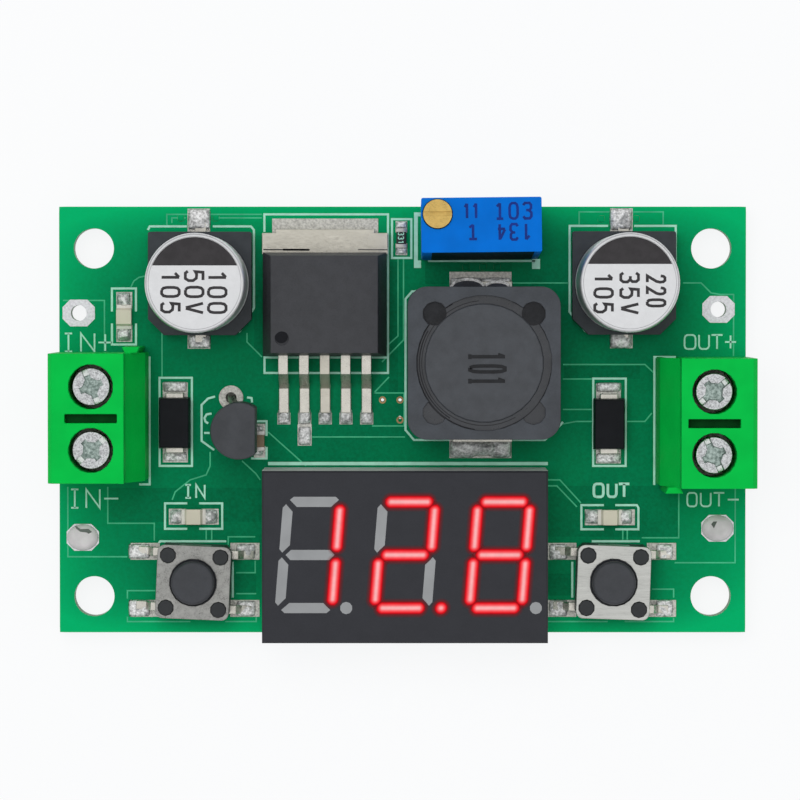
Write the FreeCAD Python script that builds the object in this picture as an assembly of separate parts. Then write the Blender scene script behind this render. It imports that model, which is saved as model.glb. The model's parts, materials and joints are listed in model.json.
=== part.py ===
import FreeCAD, Part
import math
import os

# Buck converter module: a circuit board with a switching regulator, an
# inductor, two aluminium capacitors, screw terminals, a multi-turn trimmer,
# and a three-digit voltmeter with two push buttons.
#
# The origin is the middle of the four mounting holes, on the board's
# underside. +X runs from the input to the output, +Y runs from the display
# to the trimmer, and +Z points away from the board's component side.
# All sizes are in millimetres.

V = FreeCAD.Vector
UP = V(0, 0, 1)
ALONG_X = V(1, 0, 0)
ALONG_Y = V(0, 1, 0)
ORIGIN = V(0, 0, 0)
TINY = 0.001

# Flat sides of the round shapes that don't turn and are small or hidden
pin_sides = 6
small_sides = 10
hidden_sides = 10
round_sides = 20
large_sides = 32

# Board, with the pieces near its ends placed from them
board_length = 56.4
board_width = 35.0
board_thickness = 1.6
west_end = -board_length / 2
east_end = board_length / 2
board_corner_radius = 0.4
board_middle_y = 0.23
mounting_hole_diameter = 3.3
mounting_inset_x = 2.85
mounting_inset_y = 3.2
mounting_spacing_x = board_length - 2 * mounting_inset_x
mounting_spacing_y = board_width - 2 * mounting_inset_y

# Copper, solder and pins
pad_thickness = 0.05
pin_stub = 1.5
solder_height = 1.0
solder_reach = 0.55
solder_neck = 0.15
pin_hole_clearance = 0.15
ring_pad_radius = 0.98

# Vias left open beside the regulator
via_diameter = 0.3
via_first_x = -1.65
via_pitch = 1.44
via_row_y = 1.85

# Wire pads with a hole, at the four outer corners
wire_hole_diameter = 1.3
wire_pad_length = 2.65
wire_pad_width = 2.2
wire_pad_cut = 0.62
wire_solder_crown = 0.3
wire_solder_radius = 0.95
input_plus_inset = 1.6
input_plus_x = west_end + input_plus_inset
input_plus_y = 9.0
input_minus_inset = 1.9
input_minus_x = west_end + input_minus_inset
input_minus_y = -9.45
output_plus_inset = 2.25
output_plus_x = east_end - output_plus_inset
output_plus_y = 9.3
output_minus_inset = 2.3
output_minus_x = east_end - output_minus_inset
output_minus_y = -8.7

# Screw terminals
terminal_overhang = 0.15
terminal_depth = 7.5
terminal_width = 10.4
terminal_height = 10.1
terminal_top_depth = 6.1
terminal_shoulder_top = 8.4
terminal_shoulder_foot = 4.8
terminal_lip = 0.35
terminal_pitch = 5.08
terminal_screw_depth = 3.45
input_terminal_y = 0.6
output_terminal_y = 0.2
well_diameter = 3.6
slot_length = 4.2
slot_width = 0.72
slot_sink = 3.0
entry_width = 2.6
entry_height = 3.0
entry_floor = 1.05
entry_flare = 0.35
entry_flare_depth = 0.6
rib_offset = 6.5
rib_root = 0.95
rib_tip = 1.45
rib_proud = 0.5
rib_height = 7.6
groove_clearance = 0.1

# Contact cage and clamp inside each terminal pole
cage_length = 4.3
cage_width = 3.8
cage_floor = 0.3
cage_sheet = 0.6
cage_floor_sheet = 0.7
cage_roof_sheet = 1.0
cage_clearance = 0.05
terminal_pin_width = 0.9
terminal_pin_thickness = 0.7
clamp_length = 3.2
clamp_thickness = 0.5
clamp_side_clearance = 0.1
clamp_top_clearance = 0.15
clamp_travel = 2.4
clamp_end_room = 0.35

# Terminal screws, M2.5
thread_diameter = 2.5
thread_clearance = 0.04
head_diameter = 2.93
head_height = 1.4
head_recess = 0.6
driver_slot_width = 0.5
driver_slot_depth = 0.55
driver_cross_length = 1.9
driver_cross_depth = 0.8
input_upper_slot_turn = 112.0
input_lower_slot_turn = 42.0
output_upper_slot_turn = 40.0
output_lower_slot_turn = 115.0

# Aluminium capacitors
input_capacitor_inset = 11.62
input_capacitor_x = west_end + input_capacitor_inset
input_capacitor_y = 11.42
output_capacitor_inset = 10.08
output_capacitor_x = east_end - output_capacitor_inset
output_capacitor_y = 11.46
can_diameter = 8.0
can_height = 10.2
can_bevel = 0.35
can_groove_depth = 0.3
can_groove_low = 2.3
can_groove_high = 3.0
capacitor_base_side = 8.45
capacitor_base_height = 1.9
capacitor_base_floor = 0.9
capacitor_base_cut = 1.3
capacitor_base_corner = 0.5
capacitor_seat_clearance = 0.04
capacitor_lead_width = 0.9
capacitor_lead_thickness = 0.2
capacitor_lead_reach = 4.95
capacitor_lead_rise_at = 1.55
capacitor_groove_clearance = 0.05
capacitor_pad_width = 1.85
capacitor_pad_shift_x = -0.15
capacitor_pad_shift_y = 0.4
capacitor_pad_start = 2.6
capacitor_pad_end = 5.75

# Power inductor
inductor_x = 6.55
inductor_y = 5.0
inductor_side = 12.3
inductor_height = 8.0
inductor_corner_radius = 1.6
inductor_bore_diameter = 10.9
drum_diameter = 9.6
drum_flange = 1.25
drum_post_diameter = 5.0
drum_sink = 0.15
winding_clearance = 0.1
winding_inset = 0.25
inductor_stand = 0.35
inductor_tail_width = 4.9
inductor_tail_inner = 2.6
inductor_tail_proud = 0.45
inductor_pocket_diameter = 2.0
inductor_pocket_centre = 5.6
inductor_pocket_depth = 2.5
glue_sink = 0.25
glue_depth = 0.9
inductor_pad_width = 5.1
inductor_pad_start = 3.6
inductor_pad_end = 7.65
inductor_pad_shift_x = -0.15
inductor_pad_shift_y = -0.27

# Switching regulator
regulator_x = -6.35
regulator_y = 9.9
regulator_length = 8.8
regulator_width = 10.1
regulator_height = 4.45
regulator_part_line = 2.4
regulator_top_inset_x = 0.7
regulator_top_inset_y = 0.27
regulator_foot_inset = 0.2
regulator_dimple_diameter = 1.1
regulator_dimple_depth = 0.1
regulator_dimple_inset_x = 0.9
regulator_dimple_inset_y = 1.45
tab_thickness = 1.27
tab_width = 10.3
tab_reach = 1.55
tab_nose_width = 8.1
tab_nose = 0.3
tab_under_body = 6.0
regulator_lead_pitch = 1.7
regulator_lead_width = 0.8
regulator_lead_thickness = 0.45
regulator_lead_level = 2.4
regulator_lead_root = 0.9
regulator_lead_flat = 1.35
regulator_lead_slope = 2.55
regulator_lead_reach = 4.7
regulator_pad_width = 1.07
regulator_pad_start = 2.3
regulator_pad_end = 5.65
tab_pad_width = 8.7
tab_pad_reach = 0.9
test_pad_width = 1.15
test_pad_length = 1.75

# Diodes, SMA size
input_diode_inset = 9.52
input_diode_x = west_end + input_diode_inset
input_diode_y = 0.0
output_diode_inset = 11.28
output_diode_x = east_end - output_diode_inset
output_diode_y = -0.08
diode_length = 4.2
diode_width = 2.6
diode_height = 2.1
diode_stand = 0.2
diode_taper = 0.25
diode_part_line = 1.1
diode_lead_width = 1.45
diode_lead_thickness = 0.16
diode_lead_proud = 0.35
diode_lead_root = 0.5
diode_lead_toe = 0.75
diode_pad_width = 2.05
diode_pad_start = 1.2
diode_pad_end = 3.28

# Chip parts
led_length = 2.0
led_width = 1.25
led_base_height = 0.35
led_height = 0.8
led_lens_length = 1.45
led_lens_taper = 0.15
led_pad_start = 0.65
led_pad_end = 2.05
led_pad_width = 1.3
power_led_inset = 5.34
power_led_x = west_end + power_led_inset
power_led_y = 8.67
input_led_inset = 11.03
input_led_x = west_end + input_led_inset
input_led_y = -7.75
output_led_inset = 11.15
output_led_x = east_end - output_led_inset
output_led_y = -7.8
chip_length = 1.6
chip_width = 0.8
chip_cap_length = 0.3
chip_cap_proud = 0.02
resistor_height = 0.45
capacitor_chip_height = 0.8
chip_pad_start = 0.45
chip_pad_end = 1.4
chip_pad_width = 0.95
feedback_resistor_x = -0.1
feedback_resistor_y = 15.15
feedback_capacitor_x = -11.75
feedback_capacitor_y = -1.5

# Meter supply regulator, an upright D-shaped package
package_x = -13.22
package_y = -0.5
package_radius = 2.3
package_flat = 1.33
package_stand = 2.0
package_height = 4.6
package_lead_side = 0.45
package_lead_pitch = 1.27
package_hole_pitch = 2.1
package_hole_shift_x = -0.88
package_hole_shift_y = 0.4
package_lead_straight = 0.5
package_lead_root = 0.6
package_lead_rise = 0.3

# Display
display_x = 0.19
display_y = -10.64
display_length = 23.05
display_width = 13.9
display_height = 7.2
display_edge = 0.15
display_board_thickness = 1.0
display_board_recess = 1.2
display_wall = 0.7
display_board_clearance = 0.05
display_pin_side = 0.5
display_pin_pitch = 2.54
display_row_inset = 1.87
display_row_spacing = display_width - 2 * display_row_inset
display_pins_per_row = 6
display_missing_pin = 5
digit_count = 3
digit_margin = 0.065
digit_pitch = (display_length - 2 * digit_margin) / digit_count
digit_shift_y = 0.18
digit_slant = 4.6
segment_row = 4.28
segment_column = 2.1
segment_width = 0.82
segment_bar = 3.95
segment_post = 3.9
segment_tip_shift = 0.16
segment_outer_cut = 0.28
segment_inner_cut = 0.6
point_diameter = 1.0
point_x = 3.25

# Push switches
left_switch_gap = 5.735
left_switch_x = display_x - display_length / 2 - left_switch_gap
left_switch_y = -12.95
left_switch_turn = -2.5
right_switch_gap = 5.485
right_switch_x = display_x + display_length / 2 + right_switch_gap
right_switch_y = -12.95
right_switch_turn = -2.0
switch_side = 6.0
switch_base_height = 3.1
switch_base_corner = 0.5
switch_cover_sheet = 0.3
switch_cover_corner = 0.6
switch_strap_width = 2.6
switch_strap_drop = 1.9
switch_peg_diameter = 1.24
switch_peg_spacing = 4.28
switch_peg_proud = 0.08
switch_peg_clearance = 0.03
button_diameter = 3.56
button_height = 4.3
button_flange_diameter = 4.3
button_flange = 0.55
button_nub_diameter = 1.4
button_bevel = 0.15
button_clearance = 0.12
button_bore_clearance = 0.15
dome_diameter = 4.2
dome_seat = 1.3
dome_rise = 0.45
dome_crown_diameter = 1.6
dome_sheet = 0.08
switch_leg_width = 0.7
switch_leg_thickness = 0.2
switch_leg_spacing = 4.5
switch_leg_level = 0.9
switch_leg_root = 0.5
switch_leg_knee = 0.45
switch_leg_ankle = 0.85
switch_leg_reach = 1.75
switch_pad_length = 2.4
switch_pad_width = 1.38
switch_pad_spacing_x = 8.2
switch_pad_spacing_y = 4.7

# Multi-turn trimmer
trimmer_x = 1.5
trimmer_south_y = 13.35
trimmer_length = 9.6
trimmer_depth = 4.38
trimmer_height = 10.0
trimmer_lean = 3.0
trimmer_turn = 0.6
trimmer_corner = 0.15
trimmer_stand = 0.4
trimmer_foot_length = 0.9
trimmer_screw_inset = 1.3
trimmer_head_diameter = 2.3
trimmer_head_proud = 0.3
trimmer_head_sink = 1.0
trimmer_slot_width = 0.35
trimmer_slot_depth = 0.3
trimmer_worm_diameter = 1.84
trimmer_worm_foot = 1.3
trimmer_running_clearance = 0.06
wiper_diameter = 6.1
wiper_thickness = 1.3
wiper_level = 5.0
wiper_teeth = 30
wiper_tooth_depth = 0.18
wiper_post_diameter = 1.0
trimmer_pin_side = 0.5
trimmer_pin_pitch = 2.54
trimmer_pin_root = 0.9
trimmer_hole_clearance = 0.2

# Meter controller and its resistors, on the underside below the display
controller_length = 6.5
controller_width = 4.4
controller_height = 1.0
controller_stand = 0.08
controller_taper = 0.12
controller_leads = 10
controller_lead_pitch = 0.65
controller_lead_width = 0.25
controller_lead_thickness = 0.15
controller_lead_knee = 0.25
controller_lead_reach = 1.0
meter_resistor_rows = 2
meter_resistor_pitch = 1.6
meter_resistor_gap = 2.4

# Values that follow from the sizes above
board_top = board_thickness
board_west = -board_length / 2
board_east = board_length / 2
board_south = board_middle_y - board_width / 2
board_north = board_middle_y + board_width / 2
pad_top = board_top + pad_thickness
pin_tip = -pin_stub


os.makedirs("parts", exist_ok=True)


# Shapes used by many of the pieces

def block(x0, x1, y0, y1, z0, z1):
    """A rectangular solid between two corners."""
    return Part.makeBox(x1 - x0, y1 - y0, z1 - z0, V(x0, y0, z0))


def middle_block(x, y, length, width, z0, z1):
    """A rectangular solid centred on an upright axis."""
    return block(x - length / 2, x + length / 2, y - width / 2, y + width / 2, z0, z1)


def disc(x, y, diameter, z0, z1):
    """A round solid on an upright axis."""
    return Part.makeCylinder(diameter / 2, z1 - z0, V(x, y, z0))


def prism(outline, z0, z1):
    """An upright solid with a straight-sided outline."""
    corners = [V(x, y, z0) for x, y in outline]
    face = Part.Face(Part.makePolygon(corners + corners[:1]))
    return face.extrude(V(0, 0, z1 - z0))


def side_profile(outline, width):
    """An outline in X and Z, as wide as stated along Y, centred on Y = 0."""
    corners = [V(x, -width / 2, z) for x, z in outline]
    face = Part.Face(Part.makePolygon(corners + corners[:1]))
    return face.extrude(V(0, width, 0))


def flat_sided(rings):
    """A solid with flat sides through rings that hold as many corners each."""
    faces = []
    for end in (rings[0], rings[-1]):
        faces.append(Part.Face(Part.makePolygon(end + end[:1])))
    for lower, upper in zip(rings, rings[1:]):
        for index in range(len(lower)):
            after = (index + 1) % len(lower)
            side = [lower[index], lower[after], upper[after], upper[index], lower[index]]
            faces.append(Part.Face(Part.makePolygon(side)))
    solid = Part.makeSolid(Part.makeShell(faces))
    solid.fixTolerance(TINY / 1000)
    if solid.Volume < 0:
        solid.reverse()
    return solid


def rectangle(x, y, length, width, z):
    """The four corners of a level rectangle."""
    half_x = length / 2
    half_y = width / 2
    return [V(x - half_x, y - half_y, z), V(x + half_x, y - half_y, z),
            V(x + half_x, y + half_y, z), V(x - half_x, y + half_y, z)]


def tapered(sections):
    """A solid through level rectangles of (x, y, length, width, z)."""
    return flat_sided([rectangle(*section) for section in sections])


def round_corners(x, y, radius, z, sides):
    """The corners of a level regular polygon, with a flat facing +X."""
    corners = []
    for step in range(sides):
        angle = math.pi * (2 * step + 1) / sides
        corners.append(V(x + radius * math.cos(angle), y + radius * math.sin(angle), z))
    return corners


def many_sided(x, y, diameter, z0, z1, sides):
    """An upright prism whose corners lie on a circle."""
    return flat_sided([round_corners(x, y, diameter / 2, z0, sides),
                       round_corners(x, y, diameter / 2, z1, sides)])


def stepped(x, y, steps):
    """A round solid on an upright axis, through steps of (diameter, low, high)."""
    return joined([disc(x, y, *step) for step in steps])


def clearing(diameter, sides):
    """The circle through the corners of a polygon whose flats clear a diameter."""
    return diameter / math.cos(math.pi / sides)


def turned(outline, sides, x=0.0, y=0.0):
    """An outline in radius and Z, as a solid with flat sides."""
    rings = []
    for radius, z in outline:
        rings.append(round_corners(x, y, radius, z, sides))
    return flat_sided(rings)


def upright_edges(solid):
    """The straight edges of a solid that run along Z."""
    found = []
    for edge in solid.Edges:
        box = edge.BoundBox
        if box.XLength < TINY and box.YLength < TINY and box.ZLength > TINY:
            found.append(edge)
    return found


def level_edges(solid, z):
    """The edges of a solid that lie wholly at height z."""
    found = []
    for edge in solid.Edges:
        box = edge.BoundBox
        if abs(box.ZMin - z) < TINY and abs(box.ZMax - z) < TINY:
            found.append(edge)
    return found


def bent_strip(path, thickness, width):
    """A bent strip of sheet: a middle line in X and Z, centred on Y = 0."""
    left = []
    right = []
    last = len(path) - 1
    for index in range(last + 1):
        before = path[max(index - 1, 0)]
        here = path[index]
        after = path[min(index + 1, last)]
        arrive = math.atan2(here[1] - before[1], here[0] - before[0])
        leave = math.atan2(after[1] - here[1], after[0] - here[0])
        if index == 0:
            arrive = leave
        if index == last:
            leave = arrive
        middle = (arrive + leave) / 2
        reach = thickness / 2 / math.cos((leave - arrive) / 2)
        left.append((here[0] - reach * math.sin(middle), here[1] + reach * math.cos(middle)))
        right.append((here[0] + reach * math.sin(middle), here[1] - reach * math.cos(middle)))
    return side_profile(left + right[::-1], width)


def placed(shape, x, y, z, turn=0.0):
    """A copy turned about the upright axis and then moved."""
    result = shape.copy()
    result.rotate(ORIGIN, UP, turn)
    result.translate(V(x, y, z))
    return result


def joined(shapes):
    """One solid from shapes that touch or overlap."""
    return shapes[0].multiFuse(shapes[1:]).removeSplitter()


def without(shape, tools):
    """A shape with others cut away from it."""
    return shape.cut(tools)


def write(node, shapes):
    """Write one node's solids to its STEP file."""
    solids = []
    for shape in shapes:
        solids.extend(shape.Solids)
    for solid in solids:
        if not solid.isValid():
            print("not valid:", node)
    if len(solids) == 1:
        solids[0].exportStep("parts/" + node + ".step")
    else:
        Part.makeCompound(solids).exportStep("parts/" + node + ".step")


# Pads and solder collected for one node, and holes collected for the board
solder = []
board_holes = []


def add_pad(x, y, length, width):
    """A tinned pad on the board's component side."""
    solder.append(middle_block(x, y, length, width, board_top, pad_top))


def add_pad_pair(x, y, start, end, width, turn):
    """Two pads that mirror each other across a two-ended part."""
    for side in (0, 180):
        pad = block(start, end, -width / 2, width / 2, board_top, pad_top)
        solder.append(placed(pad, x, y, 0, turn + side))


def add_pin_joint(pin, x, y, pin_diagonal):
    """The hole for a pin, and the solder cone round it on the underside."""
    hole = pin_diagonal + 2 * pin_hole_clearance
    board_holes.append(many_sided(x, y, clearing(hole, pin_sides), 0, board_thickness, pin_sides))
    cone = turned([
        (pin_diagonal / 2 + solder_neck, -solder_height),
        (hole / 2 + solder_reach, 0)], pin_sides, x, y)
    solder.append(without(cone, [pin]))


# Screw terminals

entry_top = entry_floor + entry_height
clamp_top = (cage_floor + cage_floor_sheet + clamp_end_room + clamp_travel
             + clamp_thickness)
cage_top = clamp_top + clamp_top_clearance + cage_roof_sheet
clamp_width = cage_width - 2 * cage_sheet - 2 * clamp_side_clearance
head_top = terminal_height - head_recess
head_seat = head_top - head_height


def terminal_housing():
    """The moulded block, outer face at X = 0, standing on Z = 0."""
    body = side_profile([
        (0, 0),
        (terminal_depth, 0),
        (terminal_depth, terminal_shoulder_foot),
        (terminal_top_depth, terminal_shoulder_top),
        (terminal_top_depth, terminal_height),
        (terminal_lip, terminal_height),
        (0, terminal_height - terminal_lip)], terminal_width)

    end_face = terminal_width / 2
    rib = prism([
        (rib_offset - rib_root / 2, end_face - TINY),
        (rib_offset + rib_root / 2, end_face - TINY),
        (rib_offset + rib_tip / 2, end_face + rib_proud),
        (rib_offset - rib_tip / 2, end_face + rib_proud)], 0, rib_height)
    groove = prism([
        (rib_offset - rib_root / 2 - groove_clearance, -end_face),
        (rib_offset + rib_root / 2 + groove_clearance, -end_face),
        (rib_offset + rib_tip / 2 + groove_clearance, -end_face + rib_proud + groove_clearance),
        (rib_offset - rib_tip / 2 - groove_clearance, -end_face + rib_proud + groove_clearance)],
        0, terminal_height)

    slot = middle_block(terminal_screw_depth, 0, slot_length, slot_width,
                        terminal_height - slot_sink, terminal_height)
    tools = [groove, slot]
    chamber_x0 = terminal_screw_depth - cage_length / 2 - cage_clearance
    chamber_x1 = terminal_screw_depth + cage_length / 2 + cage_clearance
    chamber_half = cage_width / 2 + cage_clearance
    for y in (-terminal_pitch / 2, terminal_pitch / 2):
        tools.append(block(chamber_x0, chamber_x1, y - chamber_half, y + chamber_half, 0, cage_top))
        tools.append(many_sided(terminal_screw_depth, y, well_diameter, cage_top - TINY,
                                terminal_height, round_sides))
        tools.append(block(0, chamber_x0 + TINY, y - entry_width / 2, y + entry_width / 2,
                           entry_floor, entry_top))
        middle = (entry_floor + entry_top) / 2
        tools.append(flat_sided([entry_corners(y, middle, 0, entry_flare),
                                 entry_corners(y, middle, entry_flare_depth, 0)]))
    return without(joined([body, rib]), tools)


def entry_corners(y, z, depth, flare):
    """The corners of a wire entry at a depth behind the outer face."""
    half_y = entry_width / 2 + flare
    half_z = entry_height / 2 + flare
    return [V(depth, y - half_y, z - half_z), V(depth, y + half_y, z - half_z),
            V(depth, y + half_y, z + half_z), V(depth, y - half_y, z + half_z)]


def terminal_contact():
    """The folded cage with a threaded roof and a pin, on the screw's axis."""
    cage = middle_block(0, 0, cage_length, cage_width, cage_floor, cage_top)
    mouth_half = cage_width / 2 - cage_sheet
    mouth = block(-cage_length / 2, cage_length / 2, -mouth_half, mouth_half,
                  cage_floor + cage_floor_sheet, cage_top - cage_roof_sheet)
    thread = many_sided(0, 0, clearing(thread_diameter + 2 * thread_clearance, hidden_sides),
                        cage_top - cage_roof_sheet - TINY, cage_top, hidden_sides)
    pin = terminal_pin()
    return joined([without(cage, [mouth, thread]), pin])


def terminal_pin():
    """The solder pin under the cage, through the board to its tip."""
    return middle_block(0, 0, terminal_pin_thickness, terminal_pin_width,
                        pin_tip - board_thickness, cage_floor)


def terminal_screw(slot_turn):
    """A screw that touches its clamp plate, head up, on its own axis."""
    screw = stepped(0, 0, [(thread_diameter, clamp_top, head_seat), (head_diameter, head_seat, head_top)])
    slot = middle_block(0, 0, head_diameter, driver_slot_width, head_top - driver_slot_depth, head_top)
    cross = middle_block(0, 0, driver_slot_width, driver_cross_length, head_top - driver_cross_depth,
                         head_top)
    deep = middle_block(0, 0, driver_cross_length, driver_slot_width, head_top - driver_cross_depth,
                        head_top)
    drive = joined([slot, cross, deep])
    drive.rotate(ORIGIN, UP, slot_turn)
    return without(screw, [drive])


def make_terminal(name, x, y, turn, slot_turns):
    """One two-pole terminal, its outer face at x, turned to face outwards."""
    write(name + "_terminal_housing", [placed(terminal_housing(), x, y, board_top, turn)])
    contacts = []
    for pole, slot_turn in zip(("upper", "lower"), slot_turns):
        side = 1 if pole == "upper" else -1
        reach = terminal_screw_depth if turn == 0 else -terminal_screw_depth
        pole_x = x + reach
        pole_y = y + side * terminal_pitch / 2
        contacts.append(placed(terminal_contact(), pole_x, pole_y, board_top))
        plate = middle_block(0, 0, clamp_length, clamp_width, clamp_top - clamp_thickness, clamp_top)
        write(name + "_" + pole + "_clamp", [placed(plate, pole_x, pole_y, board_top)])
        write(name + "_" + pole + "_screw",
              [placed(terminal_screw(slot_turn), pole_x, pole_y, board_top)])
        pin = placed(terminal_pin(), pole_x, pole_y, board_top)
        diagonal = math.hypot(terminal_pin_width, terminal_pin_thickness)
        add_pin_joint(pin, pole_x, pole_y, diagonal)
    write(name + "_terminal_contacts", contacts)


make_terminal("input", board_west - terminal_overhang, input_terminal_y, 0,
              (input_upper_slot_turn, input_lower_slot_turn))
make_terminal("output", board_east + terminal_overhang, output_terminal_y, 180,
              (output_upper_slot_turn, output_lower_slot_turn))


# Aluminium capacitors

def capacitor_lead():
    """One flat lead along +Y, bent up into the can."""
    middle = pad_thickness + capacitor_lead_thickness / 2
    rise = capacitor_lead_rise_at
    lead = bent_strip([
        (rise, capacitor_base_floor),
        (rise, middle),
        (capacitor_lead_reach, middle)], capacitor_lead_thickness, capacitor_lead_width)
    lead.rotate(ORIGIN, UP, 90)
    return lead


def capacitor_base(leads):
    """The base plate with two cut corners and a round seat for the can."""
    half = capacitor_base_side / 2
    cut = capacitor_base_cut
    corner = capacitor_base_corner
    plate = prism([
        (-half, -half + cut), (-half + cut, -half), (half - cut, -half), (half, -half + cut),
        (half, half - corner), (half - corner, half), (-half + corner, half),
        (-half, half - corner)], 0, capacitor_base_height)
    seat = many_sided(0, 0, can_diameter + 2 * capacitor_seat_clearance, capacitor_base_floor,
                      capacitor_base_height, large_sides)
    groove_top = pad_thickness + capacitor_lead_thickness + capacitor_groove_clearance
    groove = middle_block(0, 0, capacitor_lead_width + 2 * capacitor_groove_clearance,
                          capacitor_base_side, 0, groove_top)
    pad_room = middle_block(capacitor_pad_shift_x, 0,
                            capacitor_pad_width + 2 * capacitor_groove_clearance,
                            capacitor_base_side, 0, pad_thickness)
    return without(plate, [seat, groove, pad_room] + leads)


def capacitor_can():
    """The rolled can: foot, groove, straight wall and bevelled top."""
    radius = can_diameter / 2
    return turned([
        (radius, capacitor_base_floor),
        (radius, can_groove_low),
        (radius - can_groove_depth, (can_groove_low + can_groove_high) / 2),
        (radius, can_groove_high),
        (radius, can_height - can_bevel),
        (radius - can_bevel, can_height)], large_sides)


def make_capacitor(name, x, y):
    """A capacitor on its two pads."""
    leads = [capacitor_lead(), placed(capacitor_lead(), 0, 0, 0, 180)]
    write(name + "_capacitor_base", [placed(capacitor_base(leads), x, y, board_top)])
    write(name + "_capacitor_can", [placed(capacitor_can(), x, y, board_top)])
    write(name + "_capacitor_leads", [placed(lead, x, y, board_top) for lead in leads])
    add_pad_pair(x + capacitor_pad_shift_x, y + capacitor_pad_shift_y, capacitor_pad_start,
                 capacitor_pad_end, capacitor_pad_width, 90)


make_capacitor("input", input_capacitor_x, input_capacitor_y)
make_capacitor("output", output_capacitor_x, output_capacitor_y)


# Power inductor

def inductor_pockets(z0, z1):
    """The four round corner pockets between the drum and the shield."""
    pockets = []
    for quarter in range(4):
        angle = math.radians(45 + 90 * quarter)
        pockets.append(many_sided(inductor_pocket_centre * math.cos(angle),
                                  inductor_pocket_centre * math.sin(angle),
                                  inductor_pocket_diameter, z0, z1, small_sides))
    return pockets


def make_inductor():
    """The shielded inductor: shield, drum, winding, tails and the glue between."""
    low = inductor_stand
    high = inductor_height
    half = inductor_side / 2
    shield = block(-half, half, -half, half, low, high)
    shield = shield.makeFillet(inductor_corner_radius, upright_edges(shield))
    bore = many_sided(0, 0, inductor_bore_diameter, low, high, large_sides)
    pocket_floor = high - inductor_pocket_depth
    shield = without(shield, [bore] + inductor_pockets(pocket_floor, high))

    drum_radius = drum_diameter / 2
    post_radius = drum_post_diameter / 2
    drum_high = high - drum_sink
    drum = turned([
        (drum_radius, low), (drum_radius, low + drum_flange),
        (post_radius, low + drum_flange), (post_radius, drum_high - drum_flange),
        (drum_radius, drum_high - drum_flange), (drum_radius, drum_high)], large_sides)
    coil_hole = clearing(drum_post_diameter + 2 * winding_clearance, hidden_sides)
    coil_low = low + drum_flange
    coil_high = drum_high - drum_flange - winding_clearance
    winding = many_sided(0, 0, drum_diameter - 2 * winding_inset, coil_low, coil_high, hidden_sides)
    winding = without(winding, [many_sided(0, 0, coil_hole, coil_low, coil_high, hidden_sides)])

    glue_high = high - glue_sink
    drum_room = many_sided(0, 0, drum_diameter, low, high, large_sides)
    ring = many_sided(0, 0, inductor_bore_diameter, glue_high - glue_depth, glue_high, large_sides)
    glue = without(joined([ring] + inductor_pockets(pocket_floor, glue_high)), [drum_room])

    tail = block(inductor_tail_inner, half + inductor_tail_proud, -inductor_tail_width / 2,
                 inductor_tail_width / 2, pad_thickness, low)
    tails = [placed(tail, 0, 0, 0, 90), placed(tail, 0, 0, 0, -90)]

    write("inductor_shield", [placed(shield, inductor_x, inductor_y, board_top)])
    write("inductor_core", [placed(drum, inductor_x, inductor_y, board_top)])
    write("inductor_winding", [placed(winding, inductor_x, inductor_y, board_top)])
    write("inductor_adhesive", [placed(glue, inductor_x, inductor_y, board_top)])
    write("inductor_terminals", [placed(piece, inductor_x, inductor_y, board_top) for piece in tails])
    add_pad_pair(inductor_x + inductor_pad_shift_x, inductor_y + inductor_pad_shift_y,
                 inductor_pad_start, inductor_pad_end, inductor_pad_width, 90)


make_inductor()


# Switching regulator, leads towards the display

def regulator_lead():
    """One formed lead along +X from the body's face at X = 0."""
    foot = pad_thickness + regulator_lead_thickness / 2
    return bent_strip([
        (-regulator_lead_root, regulator_lead_level),
        (regulator_lead_flat, regulator_lead_level),
        (regulator_lead_slope, foot),
        (regulator_lead_reach, foot)], regulator_lead_thickness, regulator_lead_width)


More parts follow.
